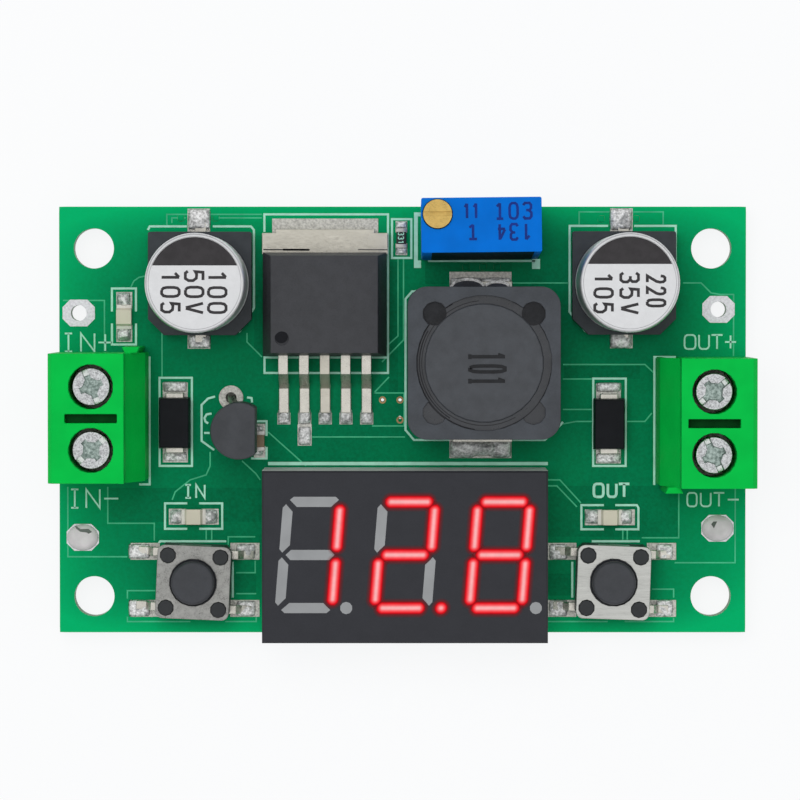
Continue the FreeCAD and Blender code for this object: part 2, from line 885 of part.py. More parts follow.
def make_regulator():
    """The body on its copper tab, with four free leads and one on the tab."""
    half = regulator_length / 2
    body = tapered([
        (0, 0, regulator_width - 2 * regulator_foot_inset, regulator_length - 2 * regulator_foot_inset,
         pad_thickness),
        (0, 0, regulator_width, regulator_length, regulator_part_line),
        (0, 0, regulator_width - 2 * regulator_top_inset_x,
         regulator_length - 2 * regulator_top_inset_y, regulator_height)])
    dimple = disc(-regulator_width / 2 + regulator_top_inset_x + regulator_dimple_inset_x,
                  -half + regulator_dimple_inset_y, regulator_dimple_diameter,
                  regulator_height - regulator_dimple_depth, regulator_height)

    tab_low = pad_thickness
    tab_high = pad_thickness + tab_thickness
    plate = block(-tab_width / 2, tab_width / 2, half - TINY, half + tab_reach - tab_nose,
                  tab_low, tab_high)
    nose = block(-tab_nose_width / 2, tab_nose_width / 2, half - tab_under_body, half + tab_reach,
                 tab_low, tab_high)
    middle_lead = placed(regulator_lead(), 0, -half, 0, -90)
    riser = block(-regulator_lead_width / 2, regulator_lead_width / 2,
                  -half + regulator_lead_root - TINY, half - tab_under_body + regulator_lead_thickness,
                  regulator_lead_level - regulator_lead_thickness / 2,
                  regulator_lead_level + regulator_lead_thickness / 2)
    post = block(-regulator_lead_width / 2, regulator_lead_width / 2,
                 half - tab_under_body, half - tab_under_body + regulator_lead_thickness,
                 tab_low, regulator_lead_level)
    tab = joined([plate, nose, post, riser, middle_lead])

    leads = []
    for place in (-2, -1, 1, 2):
        leads.append(placed(regulator_lead(), place * regulator_lead_pitch, -half, 0, -90))
    body = without(body, [dimple, tab] + leads)

    write("regulator_body", [placed(body, regulator_x, regulator_y, board_top)])
    write("regulator_tab", [placed(tab, regulator_x, regulator_y, board_top)])
    write("regulator_leads", [placed(lead, regulator_x, regulator_y, board_top) for lead in leads])

    foot_middle = regulator_y - half - (regulator_pad_start + regulator_pad_end) / 2
    for place in (-2, -1, 0, 1, 2):
        add_pad(regulator_x + place * regulator_lead_pitch, foot_middle, regulator_pad_width,
                regulator_pad_end - regulator_pad_start)
    tab_pad_north = half + tab_reach + tab_pad_reach
    tab_pad_south = half - tab_under_body
    add_pad(regulator_x, regulator_y + (tab_pad_north + tab_pad_south) / 2, tab_pad_width,
            tab_pad_north - tab_pad_south)
    add_pad(regulator_x - regulator_lead_pitch,
            regulator_y - half - regulator_pad_end - test_pad_length / 2, test_pad_width,
            test_pad_length)


make_regulator()


# Diodes, lying along Y

def diode_lead():
    """A lead that leaves the end of the body and folds under it."""
    end = diode_length / 2
    foot = pad_thickness + diode_lead_thickness / 2
    fold = end + diode_lead_proud - diode_lead_thickness / 2
    return bent_strip([
        (end - diode_lead_root, diode_part_line),
        (fold, diode_part_line),
        (fold, foot),
        (end - diode_lead_toe, foot)], diode_lead_thickness, diode_lead_width)


def make_diode(name, x, y):
    """A diode body with its two folded leads."""
    leads = [placed(diode_lead(), 0, 0, 0, 90), placed(diode_lead(), 0, 0, 0, -90)]
    body = tapered([
        (0, 0, diode_width - diode_taper, diode_length - diode_taper, diode_stand + pad_thickness),
        (0, 0, diode_width, diode_length, diode_part_line),
        (0, 0, diode_width - diode_taper, diode_length - diode_taper, diode_height)])
    body = without(body, leads)
    write(name + "_diode_body", [placed(body, x, y, board_top)])
    write(name + "_diode_leads", [placed(lead, x, y, board_top) for lead in leads])
    add_pad_pair(x, y, diode_pad_start, diode_pad_end, diode_pad_width, 90)


make_diode("input", input_diode_x, input_diode_y)
make_diode("output", output_diode_x, output_diode_y)


# Chip parts

def make_led(name, x, y, turn):
    """A chip LED: a flat base with a clear lens on it."""
    base = middle_block(0, 0, led_length, led_width, pad_thickness, led_base_height)
    lens = tapered([
        (0, 0, led_lens_length, led_width, led_base_height),
        (0, 0, led_lens_length - 2 * led_lens_taper, led_width, led_height)])
    write(name, [placed(joined([base, lens]), x, y, board_top, turn)])
    add_pad_pair(x, y, led_pad_start, led_pad_end, led_pad_width, turn)


def chip(height):
    """A chip with a metal cap wrapped round each end, lying along X."""
    body = middle_block(0, 0, chip_length, chip_width, chip_cap_proud, height - chip_cap_proud)
    caps = []
    for side in (-1, 1):
        caps.append(middle_block(side * (chip_length - chip_cap_length) / 2, 0, chip_cap_length,
                                 chip_width + 2 * chip_cap_proud, 0, height))
    return joined([body] + caps)


def make_chip(name, x, y, height):
    """A chip part on its two pads, lying along Y."""
    write(name, [placed(chip(height), x, y, pad_top, 90)])
    add_pad_pair(x, y, chip_pad_start, chip_pad_end, chip_pad_width, 90)


make_led("power_led", power_led_x, power_led_y, 90)
make_led("input_led", input_led_x, input_led_y, 0)
make_led("output_led", output_led_x, output_led_y, 0)
make_chip("feedback_resistor", feedback_resistor_x, feedback_resistor_y, resistor_height)
make_chip("feedback_capacitor", feedback_capacitor_x, feedback_capacitor_y, capacitor_chip_height)


# Meter supply regulator

def package_lead(place):
    """One lead from the body down to its hole, bent outwards on the way."""
    side = package_lead_side
    top_x = package_x
    top_y = package_y + place * package_lead_pitch
    hole_x = package_x + package_hole_shift_x
    hole_y = package_y + package_hole_shift_y + place * package_hole_pitch
    body_low = board_top + package_stand
    return tapered([
        (hole_x, hole_y, side, side, pin_tip),
        (hole_x, hole_y, side, side, board_top + package_lead_rise),
        (top_x, top_y, side, side, body_low - package_lead_straight),
        (top_x, top_y, side, side, body_low + package_lead_root)])


def make_package():
    """The upright package with its flat towards +X."""
    body_low = board_top + package_stand
    leads = [package_lead(place) for place in (-1, 0, 1)]
    round_body = disc(package_x, package_y, 2 * package_radius, body_low, body_low + package_height)
    flat_cut = block(package_x + package_flat, package_x + package_radius,
                     package_y - package_radius, package_y + package_radius,
                     body_low, body_low + package_height)
    write("meter_regulator_body", [without(round_body, [flat_cut] + leads)])
    write("meter_regulator_leads", leads)
    for place, lead in zip((-1, 0, 1), leads):
        hole_x = package_x + package_hole_shift_x
        hole_y = package_y + package_hole_shift_y + place * package_hole_pitch
        diagonal = package_lead_side * math.sqrt(2)
        add_pin_joint(lead, hole_x, hole_y, diagonal)
        hole = clearing(diagonal + 2 * pin_hole_clearance, pin_sides)
        ring = many_sided(hole_x, hole_y, 2 * ring_pad_radius, board_top, pad_top, small_sides)
        inside = many_sided(hole_x, hole_y, hole, board_top, pad_top, pin_sides)
        solder.append(without(ring, [inside]))


make_package()


# Display

def segment(length, outer):
    """A segment along X with pointed ends; outer is +1, 0 or -1 across."""
    half = length / 2
    half_width = segment_width / 2
    plus_cut = segment_inner_cut
    minus_cut = segment_inner_cut
    if outer > 0:
        plus_cut = segment_outer_cut
    if outer < 0:
        minus_cut = segment_outer_cut
    if outer == 0:
        plus_cut = half_width
        minus_cut = half_width
    tip = outer * segment_tip_shift
    return [(-half, tip), (-half + plus_cut, half_width), (half - plus_cut, half_width),
            (half, tip), (half - minus_cut, -half_width), (-half + minus_cut, -half_width)]


def standing(outline):
    """The same outline turned a quarter turn, to stand along Y."""
    return [(-y, x) for x, y in outline]


def digit_segments():
    """The outlines of the seven segments of an upright digit, by letter."""
    row = segment_row
    side = segment_column
    half_row = segment_row / 2
    return {
        "a": shifted(segment(segment_bar, 1), 0, row),
        "b": shifted(standing(segment(segment_post, -1)), side, half_row),
        "c": shifted(standing(segment(segment_post, -1)), side, -half_row),
        "d": shifted(segment(segment_bar, -1), 0, -row),
        "e": shifted(standing(segment(segment_post, 1)), -side, -half_row),
        "f": shifted(standing(segment(segment_post, 1)), -side, half_row),
        "g": shifted(segment(segment_bar, 0), 0, 0)}


def shifted(outline, x, y):
    """An outline moved by x and y."""
    return [(point_x_at + x, point_y_at + y) for point_x_at, point_y_at in outline]


def slanted(outline):
    """An outline leaned like the digits."""
    lean = math.tan(math.radians(digit_slant))
    return [(x + y * lean, y) for x, y in outline]


def make_display():
    """The housing with its light wells, segments, LED board and pins."""
    floor = board_top
    top = board_top + display_height
    wells_low = floor + display_board_recess
    lit_by_digit = ("bc", "abged", "abcdefg")
    lit_point = 1
    lit = []
    dark = []
    lean = math.tan(math.radians(digit_slant))
    for digit in range(digit_count):
        digit_x = display_x + (digit - (digit_count - 1) / 2) * digit_pitch
        digit_y = display_y + digit_shift_y
        for letter, outline in digit_segments().items():
            guide = prism(shifted(slanted(outline), digit_x, digit_y), wells_low, top)
            if letter in lit_by_digit[digit]:
                lit.append(guide)
            else:
                dark.append(guide)
        point = many_sided(digit_x + point_x - segment_row * lean, digit_y - segment_row,
                           point_diameter, wells_low, top, small_sides)
        if digit == lit_point:
            lit.append(point)
        else:
            dark.append(point)

    housing = middle_block(display_x, display_y, display_length, display_width, floor, top)
    housing = housing.makeChamfer(display_edge, level_edges(housing, top))
    recess = middle_block(display_x, display_y, display_length - 2 * display_wall,
                          display_width - 2 * display_wall, floor, wells_low)
    housing = without(housing, [recess] + lit + dark)

    inner = 2 * (display_wall + display_board_clearance)
    inner_board_low = wells_low - display_board_thickness
    inner_board = middle_block(display_x, display_y, display_length - inner, display_width - inner,
                               inner_board_low, wells_low)
    pins = []
    for row in (-1, 1):
        for place in range(display_pins_per_row):
            if row < 0 and place == display_missing_pin:
                continue
            x = display_x + (place - (display_pins_per_row - 1) / 2) * display_pin_pitch
            y = display_y + row * display_row_spacing / 2
            pin = middle_block(x, y, display_pin_side, display_pin_side, pin_tip, inner_board_low)
            pins.append(pin)
            add_pin_joint(pin, x, y, display_pin_side * math.sqrt(2))

    write("display_housing", [housing])
    write("display_segments_lit", lit)
    write("display_segments_dark", dark)
    write("display_board", [inner_board])
    write("display_pins", pins)


make_display()


# Push switches

def switch_corners(spacing):
    """The four corner places of a square pattern."""
    half = spacing / 2
    return [(-half, -half), (half, -half), (half, half), (-half, half)]


def switch_leg():
    """A gull-wing leg along +X from the base's side."""
    side = switch_side / 2
    foot = pad_thickness + switch_leg_thickness / 2
    return bent_strip([
        (side - switch_leg_root, switch_leg_level),
        (side + switch_leg_knee, switch_leg_level),
        (side + switch_leg_ankle, foot),
        (side + switch_leg_reach, foot)], switch_leg_thickness, switch_leg_width)


def make_switch(name, x, y, turn):
    """A push switch: base, snap dome, button, cover and legs."""
    side = switch_side / 2
    cover_low = switch_base_height
    cover_high = cover_low + switch_cover_sheet
    strap_low = cover_low - switch_strap_drop

    legs = []
    for direction in (0, 180):
        for row in (-1, 1):
            leg = switch_leg()
            leg.translate(V(0, row * switch_leg_spacing / 2, 0))
            legs.append(placed(leg, 0, 0, 0, direction))

    base = middle_block(0, 0, switch_side, switch_side, pad_thickness, cover_low)
    base = base.makeChamfer(switch_base_corner, upright_edges(base))
    cavity = many_sided(0, 0, clearing(button_flange_diameter + 2 * button_bore_clearance, hidden_sides),
                        dome_seat, cover_low, hidden_sides)
    straps = []
    for row in (-1, 1):
        straps.append(middle_block(0, row * (side - switch_cover_sheet / 2), switch_strap_width,
                                   switch_cover_sheet, strap_low, cover_low))
    pegs = []
    peg_holes = []
    hole = switch_peg_diameter + 2 * switch_peg_clearance
    for peg_x, peg_y in switch_corners(switch_peg_spacing):
        pegs.append(many_sided(peg_x, peg_y, switch_peg_diameter, cover_low - TINY,
                               cover_high + switch_peg_proud, small_sides))
        peg_holes.append(many_sided(peg_x, peg_y, hole, cover_low, cover_high, small_sides))
    base = joined([without(base, [cavity] + straps + legs)] + pegs)

    cover = middle_block(0, 0, switch_side, switch_side, cover_low, cover_high)
    cover = cover.makeFillet(switch_cover_corner, upright_edges(cover))
    bore = many_sided(0, 0, clearing(button_diameter + 2 * button_clearance, round_sides),
                      cover_low, cover_high, round_sides)
    cover = joined([without(cover, [bore] + peg_holes)] + straps)

    crown_top = dome_seat + dome_rise
    button = turned([
        (button_nub_diameter / 2, crown_top),
        (button_nub_diameter / 2, cover_low - button_flange),
        (button_flange_diameter / 2, cover_low - button_flange),
        (button_flange_diameter / 2, cover_low),
        (button_diameter / 2, cover_low),
        (button_diameter / 2, button_height - button_bevel),
        (button_diameter / 2 - button_bevel, button_height)], round_sides)
    dome = turned([
        (dome_diameter / 2, dome_seat),
        (dome_diameter / 2, dome_seat + dome_sheet),
        (dome_crown_diameter / 2, crown_top)], small_sides)
    hollow = turned([
        (dome_diameter / 2 - dome_sheet, dome_seat),
        (dome_crown_diameter / 2, crown_top - dome_sheet)], small_sides)
    dome = without(dome, [hollow])

    write(name + "_switch_base", [placed(base, x, y, board_top, turn)])
    write(name + "_switch_cover", [placed(cover, x, y, board_top, turn)])
    write(name + "_switch_button", [placed(button, x, y, board_top, turn)])
    write(name + "_switch_dome", [placed(dome, x, y, board_top, turn)])
    write(name + "_switch_terminals", [placed(leg, x, y, board_top, turn) for leg in legs])
    for side_x in (-1, 1):
        for side_y in (-1, 1):
            add_pad(x + side_x * switch_pad_spacing_x / 2, y + side_y * switch_pad_spacing_y / 2,
                    switch_pad_length, switch_pad_width)


make_switch("left", left_switch_x, left_switch_y, left_switch_turn)
make_switch("right", right_switch_x, right_switch_y, right_switch_turn)


# Multi-turn trimmer

def along_y(diameter, x, z, y0, y1):
    """A round solid with its axis along Y."""
    return Part.makeCylinder(diameter / 2, y1 - y0, V(x, y0, z), ALONG_Y)


def wiper_outline():
    """The wiper gear's toothed outline, in X and Z about its middle."""
    outline = []
    outer = wiper_diameter / 2
    inner = outer - wiper_tooth_depth
    for tooth in range(wiper_teeth):
        for half, radius in ((0, outer), (1, inner)):
            angle = math.pi * (2 * tooth + half) / wiper_teeth
            outline.append((radius * math.cos(angle), radius * math.sin(angle)))
    return outline


def leaned(shape):
    """A trimmer piece leaned about its north foot, turned a little, and placed."""
    result = shape.copy()
    result.rotate(V(0, trimmer_depth, 0), ALONG_X, -trimmer_lean)
    result.rotate(V(trimmer_length / 2, trimmer_depth / 2, 0), UP, trimmer_turn)
    result.translate(V(trimmer_x, trimmer_south_y, board_top))
    return result


def make_trimmer():
    """The trimmer: housing, worm screw, wiper gear and three pins."""
    screw_y = trimmer_depth - trimmer_screw_inset
    screw_x = trimmer_screw_inset
    head_low = trimmer_height - trimmer_head_sink
    head_high = trimmer_height + trimmer_head_proud
    gap = trimmer_running_clearance
    wiper_x = screw_x + trimmer_worm_diameter / 2 + gap + wiper_diameter / 2
    wiper_y0 = screw_y - wiper_thickness / 2
    wiper_y1 = screw_y + wiper_thickness / 2

    body = block(0, trimmer_length, 0, trimmer_depth, trimmer_stand, trimmer_height)
    body = body.makeFillet(trimmer_corner, upright_edges(body))
    feet = []
    for foot_x in (trimmer_corner, trimmer_length - trimmer_corner - trimmer_foot_length):
        feet.append(block(foot_x, foot_x + trimmer_foot_length, trimmer_corner,
                          trimmer_depth, 0, trimmer_stand + TINY))
    post = along_y(wiper_post_diameter, wiper_x, wiper_level, wiper_y0 - gap, wiper_y1 + gap)
    reach = wiper_diameter / 2 + gap
    chamber = block(wiper_x - reach, wiper_x + reach, wiper_y0 - gap, wiper_y1 + gap,
                    wiper_level - reach, wiper_level + reach)
    worm_bore = many_sided(screw_x, screw_y, clearing(trimmer_worm_diameter + 2 * gap, hidden_sides),
                           trimmer_worm_foot - gap, head_low, hidden_sides)
    head_bore = many_sided(screw_x, screw_y, clearing(trimmer_head_diameter + 2 * gap, round_sides),
                           head_low, trimmer_height, round_sides)
    pins = []
    for place in (-1, 0, 1):
        pins.append(middle_block(trimmer_length / 2 + place * trimmer_pin_pitch, trimmer_depth / 2,
                                 trimmer_pin_side, trimmer_pin_side,
                                 pin_tip - board_thickness, trimmer_stand + trimmer_pin_root))
    housing = joined([body] + feet)
    housing = without(housing, [without(chamber, [post]), worm_bore, head_bore] + pins)

    screw = stepped(screw_x, screw_y, [(trimmer_worm_diameter, trimmer_worm_foot, head_low + gap),
                                       (trimmer_head_diameter, head_low + gap, head_high)])
    slot = middle_block(screw_x, screw_y, trimmer_head_diameter, trimmer_slot_width,
                        head_high - trimmer_slot_depth, head_high)
    screw = without(screw, [slot])

    corners = [V(wiper_x + x, wiper_y0, wiper_level + z) for x, z in wiper_outline()]
    gear = Part.Face(Part.makePolygon(corners + corners[:1])).extrude(V(0, wiper_thickness, 0))
    hub = along_y(wiper_post_diameter + 2 * gap, wiper_x, wiper_level, wiper_y0, wiper_y1)
    gear = without(gear, [hub])

    write("trimmer_housing", [leaned(housing)])
    write("trimmer_screw", [leaned(screw)])
    write("trimmer_wiper", [leaned(gear)])
    write("trimmer_pins", [leaned(pin) for pin in pins])
    for pin in pins:
        standing_pin = leaned(pin)
        crossing = standing_pin.common(block(board_west, board_east, board_south, board_north,
                                             -TINY, board_top)).BoundBox
        add_pin_joint(standing_pin, crossing.Center.x, crossing.Center.y,
                      trimmer_pin_side * math.sqrt(2) + trimmer_hole_clearance)


make_trimmer()


# Meter controller and its resistors, under the board

def controller_lead():
    """A fine gull-wing lead along +X, hanging below Z = 0."""
    side = controller_width / 2
    foot = -controller_lead_thickness / 2
    level = -(controller_stand + controller_height / 2)
    return bent_strip([
        (side, level),
        (side + controller_lead_knee, foot),
        (side + controller_lead_reach, foot)], controller_lead_thickness, controller_lead_width)


def make_controller():
    """The controller body with its two rows of leads, as one moulded part."""
    x = display_x
    y = display_y
    low = -(controller_stand + controller_height)
    middle = -(controller_stand + controller_height / 2)
    body = tapered([
        (0, 0, controller_length - controller_taper, controller_width - controller_taper, low),
        (0, 0, controller_length, controller_width, middle),
        (0, 0, controller_length - controller_taper, controller_width - controller_taper,
         -controller_stand)])
    pieces = [body]
    for turn in (90, -90):
        for place in range(controller_leads):
            lead = placed(controller_lead(), 0, 0, 0, turn)
            lead.translate(V((place - (controller_leads - 1) / 2) * controller_lead_pitch, 0, 0))
            pieces.append(lead)
    write("meter_controller", [placed(joined(pieces), x, y, 0)])

    resistors = []
    column = controller_length / 2 + meter_resistor_gap
    for side in (-1, 1):
        for row in range(meter_resistor_rows):
            row_y = (row - (meter_resistor_rows - 1) / 2) * meter_resistor_pitch
            resistor = chip(resistor_height)
            resistor.rotate(ORIGIN, ALONG_X, 180)
            resistors.append(placed(resistor, x + side * column, y + row_y, 0))
    write("meter_resistors", resistors)


make_controller()


# Wire pads

def wire_pad(x, y, z0, z1):
    """A pad with cut corners round a wire hole."""
    half_x = wire_pad_length / 2
    half_y = wire_pad_width / 2
    cut = wire_pad_cut
    return prism([
        (x - half_x, y - half_y + cut), (x - half_x + cut, y - half_y),
        (x + half_x - cut, y - half_y), (x + half_x, y - half_y + cut),
        (x + half_x, y + half_y - cut), (x + half_x - cut, y + half_y),
        (x - half_x + cut, y + half_y), (x - half_x, y + half_y - cut)], z0, z1)


def add_wire_pad(x, y, filled):
    """A wire hole with a pad on both sides, left open or filled."""
    top = wire_pad(x, y, board_top, pad_top)
    bottom = wire_pad(x, y, -pad_thickness, 0)
    if filled:
        radius = wire_hole_diameter / 2
        board_holes.append(many_sided(x, y, wire_hole_diameter, 0, board_thickness, small_sides))
        plug = turned([
            (radius, -pad_thickness - wire_solder_crown),
            (wire_solder_radius, -pad_thickness),
            (radius, -pad_thickness),
            (radius, pad_top),
            (wire_solder_radius, pad_top),
            (radius, pad_top + wire_solder_crown)], small_sides, x, y)
        solder.append(joined([plug, top, bottom]))
    else:
        hole = disc(x, y, wire_hole_diameter, -pad_thickness, pad_top)
        board_holes.append(hole)
        solder.append(without(top, [hole]))
        solder.append(without(bottom, [hole]))


add_wire_pad(input_plus_x, input_plus_y, False)
add_wire_pad(output_plus_x, output_plus_y, False)
add_wire_pad(input_minus_x, input_minus_y, True)
add_wire_pad(output_minus_x, output_minus_y, True)


# Board

for side_x in (-1, 1):
    for side_y in (-1, 1):
        board_holes.append(disc(side_x * mounting_spacing_x / 2, side_y * mounting_spacing_y / 2,
                                mounting_hole_diameter, 0, board_thickness))
for step_x, step_y in ((0, 0), (1, 0), (1, -1)):
    board_holes.append(many_sided(via_first_x + step_x * via_pitch, via_row_y + step_y * via_pitch,
                                  via_diameter, 0, board_thickness, pin_sides))

board = block(board_west, board_east, board_south, board_north, 0, board_thickness)
board = board.makeFillet(board_corner_radius, upright_edges(board))
board = without(board, board_holes)

write("board", [board])
write("solder", solder)
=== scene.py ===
import bpy
import bmesh
import json
import math
from mathutils import Matrix, Vector, noise

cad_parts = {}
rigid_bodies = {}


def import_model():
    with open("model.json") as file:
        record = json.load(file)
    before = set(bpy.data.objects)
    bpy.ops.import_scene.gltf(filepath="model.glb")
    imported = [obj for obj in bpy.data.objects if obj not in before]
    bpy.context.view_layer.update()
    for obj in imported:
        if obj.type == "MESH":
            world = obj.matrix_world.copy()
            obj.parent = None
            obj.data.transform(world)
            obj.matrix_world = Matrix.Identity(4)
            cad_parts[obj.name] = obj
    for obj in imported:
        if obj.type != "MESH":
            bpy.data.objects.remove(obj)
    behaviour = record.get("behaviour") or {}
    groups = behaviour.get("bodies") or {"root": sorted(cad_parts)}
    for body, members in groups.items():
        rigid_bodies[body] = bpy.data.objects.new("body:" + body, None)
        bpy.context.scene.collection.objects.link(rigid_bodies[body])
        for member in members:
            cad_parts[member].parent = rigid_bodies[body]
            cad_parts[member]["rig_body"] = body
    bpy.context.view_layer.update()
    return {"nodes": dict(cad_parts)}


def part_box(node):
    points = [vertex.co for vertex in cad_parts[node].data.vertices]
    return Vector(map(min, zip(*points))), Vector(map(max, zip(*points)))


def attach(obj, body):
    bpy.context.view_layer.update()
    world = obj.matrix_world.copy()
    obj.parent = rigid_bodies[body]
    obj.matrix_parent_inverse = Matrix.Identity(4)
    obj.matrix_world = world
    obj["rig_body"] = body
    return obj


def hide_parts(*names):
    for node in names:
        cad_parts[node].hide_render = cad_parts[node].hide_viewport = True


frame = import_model()
nodes = frame["nodes"]

# Sizes in millimetres, from the same values as the CAD part
MM = 0.001
BOARD_TOP = 1.6
PAD_TOP = 1.65
BOARD_MIDDLE_Y = 0.23
BOARD_HALF_X = 28.2
BOARD_HALF_Y = 17.5
CORNER_RADIUS = 0.4
FLOOR_Z = -1.5

# Thin layers start a little inside the face that they lie on
LAYER_LOW = BOARD_TOP - 0.002
SOLDER_LOW = PAD_TOP - 0.01

# How a place in the photograph becomes a place on the board
PIXELS_PER_MM = 12.17
CENTRE_X = 402.55
CENTRE_Y = 422.55
CAMERA_X = 400.0
CAMERA_Y = 300.0
CAMERA_DISTANCE = 340.0


def at(x, y, height=0.0):
    """A photograph place, at a height over the board's top, in millimetres."""
    scale = (CAMERA_DISTANCE - height) / CAMERA_DISTANCE
    board_x = CAMERA_X + (x - CAMERA_X) * scale
    board_y = CAMERA_Y + (y - CAMERA_Y) * scale
    return (board_x - CENTRE_X) / PIXELS_PER_MM, (CENTRE_Y - board_y) / PIXELS_PER_MM


def tone(red, green, blue):
    """A screen colour from 0 to 255 as the linear colour that a shader takes."""
    linear = []
    for value in (red, green, blue):
        part = value / 255
        linear.append(part / 12.92 if part <= 0.04045 else ((part + 0.055) / 1.055) ** 2.4)
    return (*linear, 1.0)


# Materials

class Nodes:
    """The nodes of a new material or world, and short ways to add and join them."""

    def __init__(self, name, kind="materials"):
        self.owner = getattr(bpy.data, kind).new(name)
        self.owner.use_nodes = True
        self.tree = self.owner.node_tree
        self.shader = self.tree.nodes.get("Principled BSDF")
        self.places = self.add("ShaderNodeTexCoord").outputs

    def add(self, kind, inputs=None, **settings):
        node = self.tree.nodes.new(kind)
        for key, value in settings.items():
            setattr(node, key, value)
        for key, value in (inputs or {}).items():
            self.feed(node.inputs[key], value)
        return node

    def join(self, source, target):
        self.tree.links.new(source, target)

    def feed(self, socket, value):
        if isinstance(value, bpy.types.NodeSocket):
            self.join(value, socket)
        else:
            socket.default_value = value

    def math(self, operation, *values):
        return self.add("ShaderNodeMath", dict(enumerate(values)), operation=operation).outputs[0]

    def mix(self, factor, first, second, kind="RGBA"):
        inputs = {"Factor": factor, "A": first, "B": second}
        return self.add("ShaderNodeMix", inputs, data_type=kind).outputs["Result"]

    def noise(self, size, detail=3.0, stretch=(1, 1, 1), roughness=0.55):
        """Noise with features of a size in millimetres."""
        place = self.places["Object"]
        if stretch != (1, 1, 1):
            place = self.add("ShaderNodeMapping", {"Scale": stretch, "Vector": place}).outputs["Vector"]
        inputs = {"Scale": 1 / (size * MM), "Detail": detail, "Roughness": roughness, "Vector": place}
        return self.add("ShaderNodeTexNoise", inputs).outputs["Fac"]

    def span(self, value, low, high, start=0.35, end=0.65):
        inputs = {"Value": value, "From Min": start, "From Max": end, "To Min": low, "To Max": high}
        return self.add("ShaderNodeMapRange", inputs).outputs["Result"]

    def axes(self, kind="Object"):
        return self.add("ShaderNodeSeparateXYZ", {0: self.places[kind]}).outputs

    def bump(self, height, depth, strength=0.4):
        node = self.add("ShaderNodeBump", {"Strength": strength, "Distance": depth * MM, "Height": height})
        self.join(node.outputs["Normal"], self.shader.inputs["Normal"])

    def finish(self, colour, rough, metallic=0.0, specular=0.5):
        inputs = {"Base Color": colour, "Roughness": rough, "Metallic": metallic,
                  "Specular IOR Level": specular}
        for key, value in inputs.items():
            self.feed(self.shader.inputs[key], value)
        return self.owner


def shaded(colour, amount):
    """A colour made darker or lighter by a share."""
    return tuple(min(1.0, part * amount) for part in colour[:3]) + (1.0,)


def plastic(name, colour, rough=0.45, grain=0.12, vary=0.12, depth=0.006, specular=0.3):
    """Moulded plastic: a fine grain, with the colour and gloss a little uneven."""
    n = Nodes(name)
    broad = n.span(n.noise(grain * 12, 2.0), 0.0, 1.0)
    fine = n.noise(grain, 4.0)
    surface = n.mix(broad, shaded(colour, 1 - vary), shaded(colour, 1 + vary))
    n.bump(fine, depth)
    return n.finish(surface, n.span(fine, rough - 0.08, rough + 0.1), 0.0, specular)


def metal(name, colour, rough=0.35, grain=0.2, vary=0.2, depth=0.01, stretch=(1, 1, 1), strength=0.4):
    """Metal: worn or brushed, with brighter and darker patches."""
    n = Nodes(name)
    fine = n.noise(grain, 5.0, stretch)
    broad = n.span(n.noise(grain * 5, 3.0, stretch), 0.0, 1.0)
    surface = n.mix(n.span(fine, 0.0, 1.0), shaded(colour, 1 - vary), shaded(colour, 1 + vary * 0.6))
    surface = n.mix(broad, surface, shaded(colour, 1 + vary * 0.4))
    n.bump(fine, depth, strength)
    return n.finish(surface, n.span(fine, rough - 0.1, rough + 0.12), 1.0)


# Windows that show as darker mask, where no copper lies and, in one, a painted shadow: left, top, right,
# bottom
BARE_AND_SHADED_WINDOWS = (
    (108, 488, 262, 522),
    (228, 574, 256, 594),
    (254, 290, 263, 352),
    (389, 262, 398, 392),
    # Painted shadow on the board between the trimmer and the inductor
    (425, 260, 512, 284),
    (564, 366, 640, 379),
    (545, 574, 571, 596),
    (545, 486, 678, 537),
)


def mask_material():
    """Solder mask: bright near the board's rim, deeper in the middle, dark where no copper lies and where a
    shadow is painted.
    """
    n = Nodes("solder_mask")
    x, y = n.axes()[:2]
    across = n.math("DIVIDE", n.math("ABSOLUTE", x), BOARD_HALF_X * MM)
    along = n.math("DIVIDE", n.math("ABSOLUTE", n.math("SUBTRACT", y, BOARD_MIDDLE_Y * MM)),
                   BOARD_HALF_Y * MM)
    rim = n.math("MULTIPLY", n.math("POWER", across, 6.0), 0.65)
    rim = n.math("ADD", rim, n.math("MULTIPLY", n.math("POWER", along, 8.0), 0.8))
    rim = n.math("ADD", rim, n.span(n.noise(9.0, 2.0), -0.03, 0.09))
    deep = n.mix(rim, tone(2, 107, 68), tone(2, 174, 103))
    bare_or_shaded = 0.0
    for x0, y0, x1, y1 in BARE_AND_SHADED_WINDOWS:
        left, top = at(x0, y0)
        right, bottom = at(x1, y1)
        in_x = n.math("COMPARE", x, (left + right) / 2 * MM, (right - left) / 2 * MM)
        in_y = n.math("COMPARE", y, (top + bottom) / 2 * MM, (top - bottom) / 2 * MM)
        bare_or_shaded = n.math("MAXIMUM", bare_or_shaded, n.math("MULTIPLY", in_x, in_y))
    # Darker where no copper lies, and a painted shadow in one window
    deep = n.mix(n.math("MULTIPLY", bare_or_shaded, 0.3), deep, tone(0, 66, 42))
    grain = n.noise(0.25, 4.0)
    surface = n.mix(n.span(grain, 0.0, 0.1), deep, tone(4, 190, 130))
    upright = n.math("LESS_THAN", n.math("ABSOLUTE", n.axes("Normal")[2]), 0.5)
    surface = n.mix(upright, surface, tone(120, 160, 120))
    n.bump(n.noise(0.6, 5.0), 0.012, 0.35)
    return n.finish(surface, n.span(grain, 0.3, 0.42), 0.0, 0.04)


mask = mask_material()


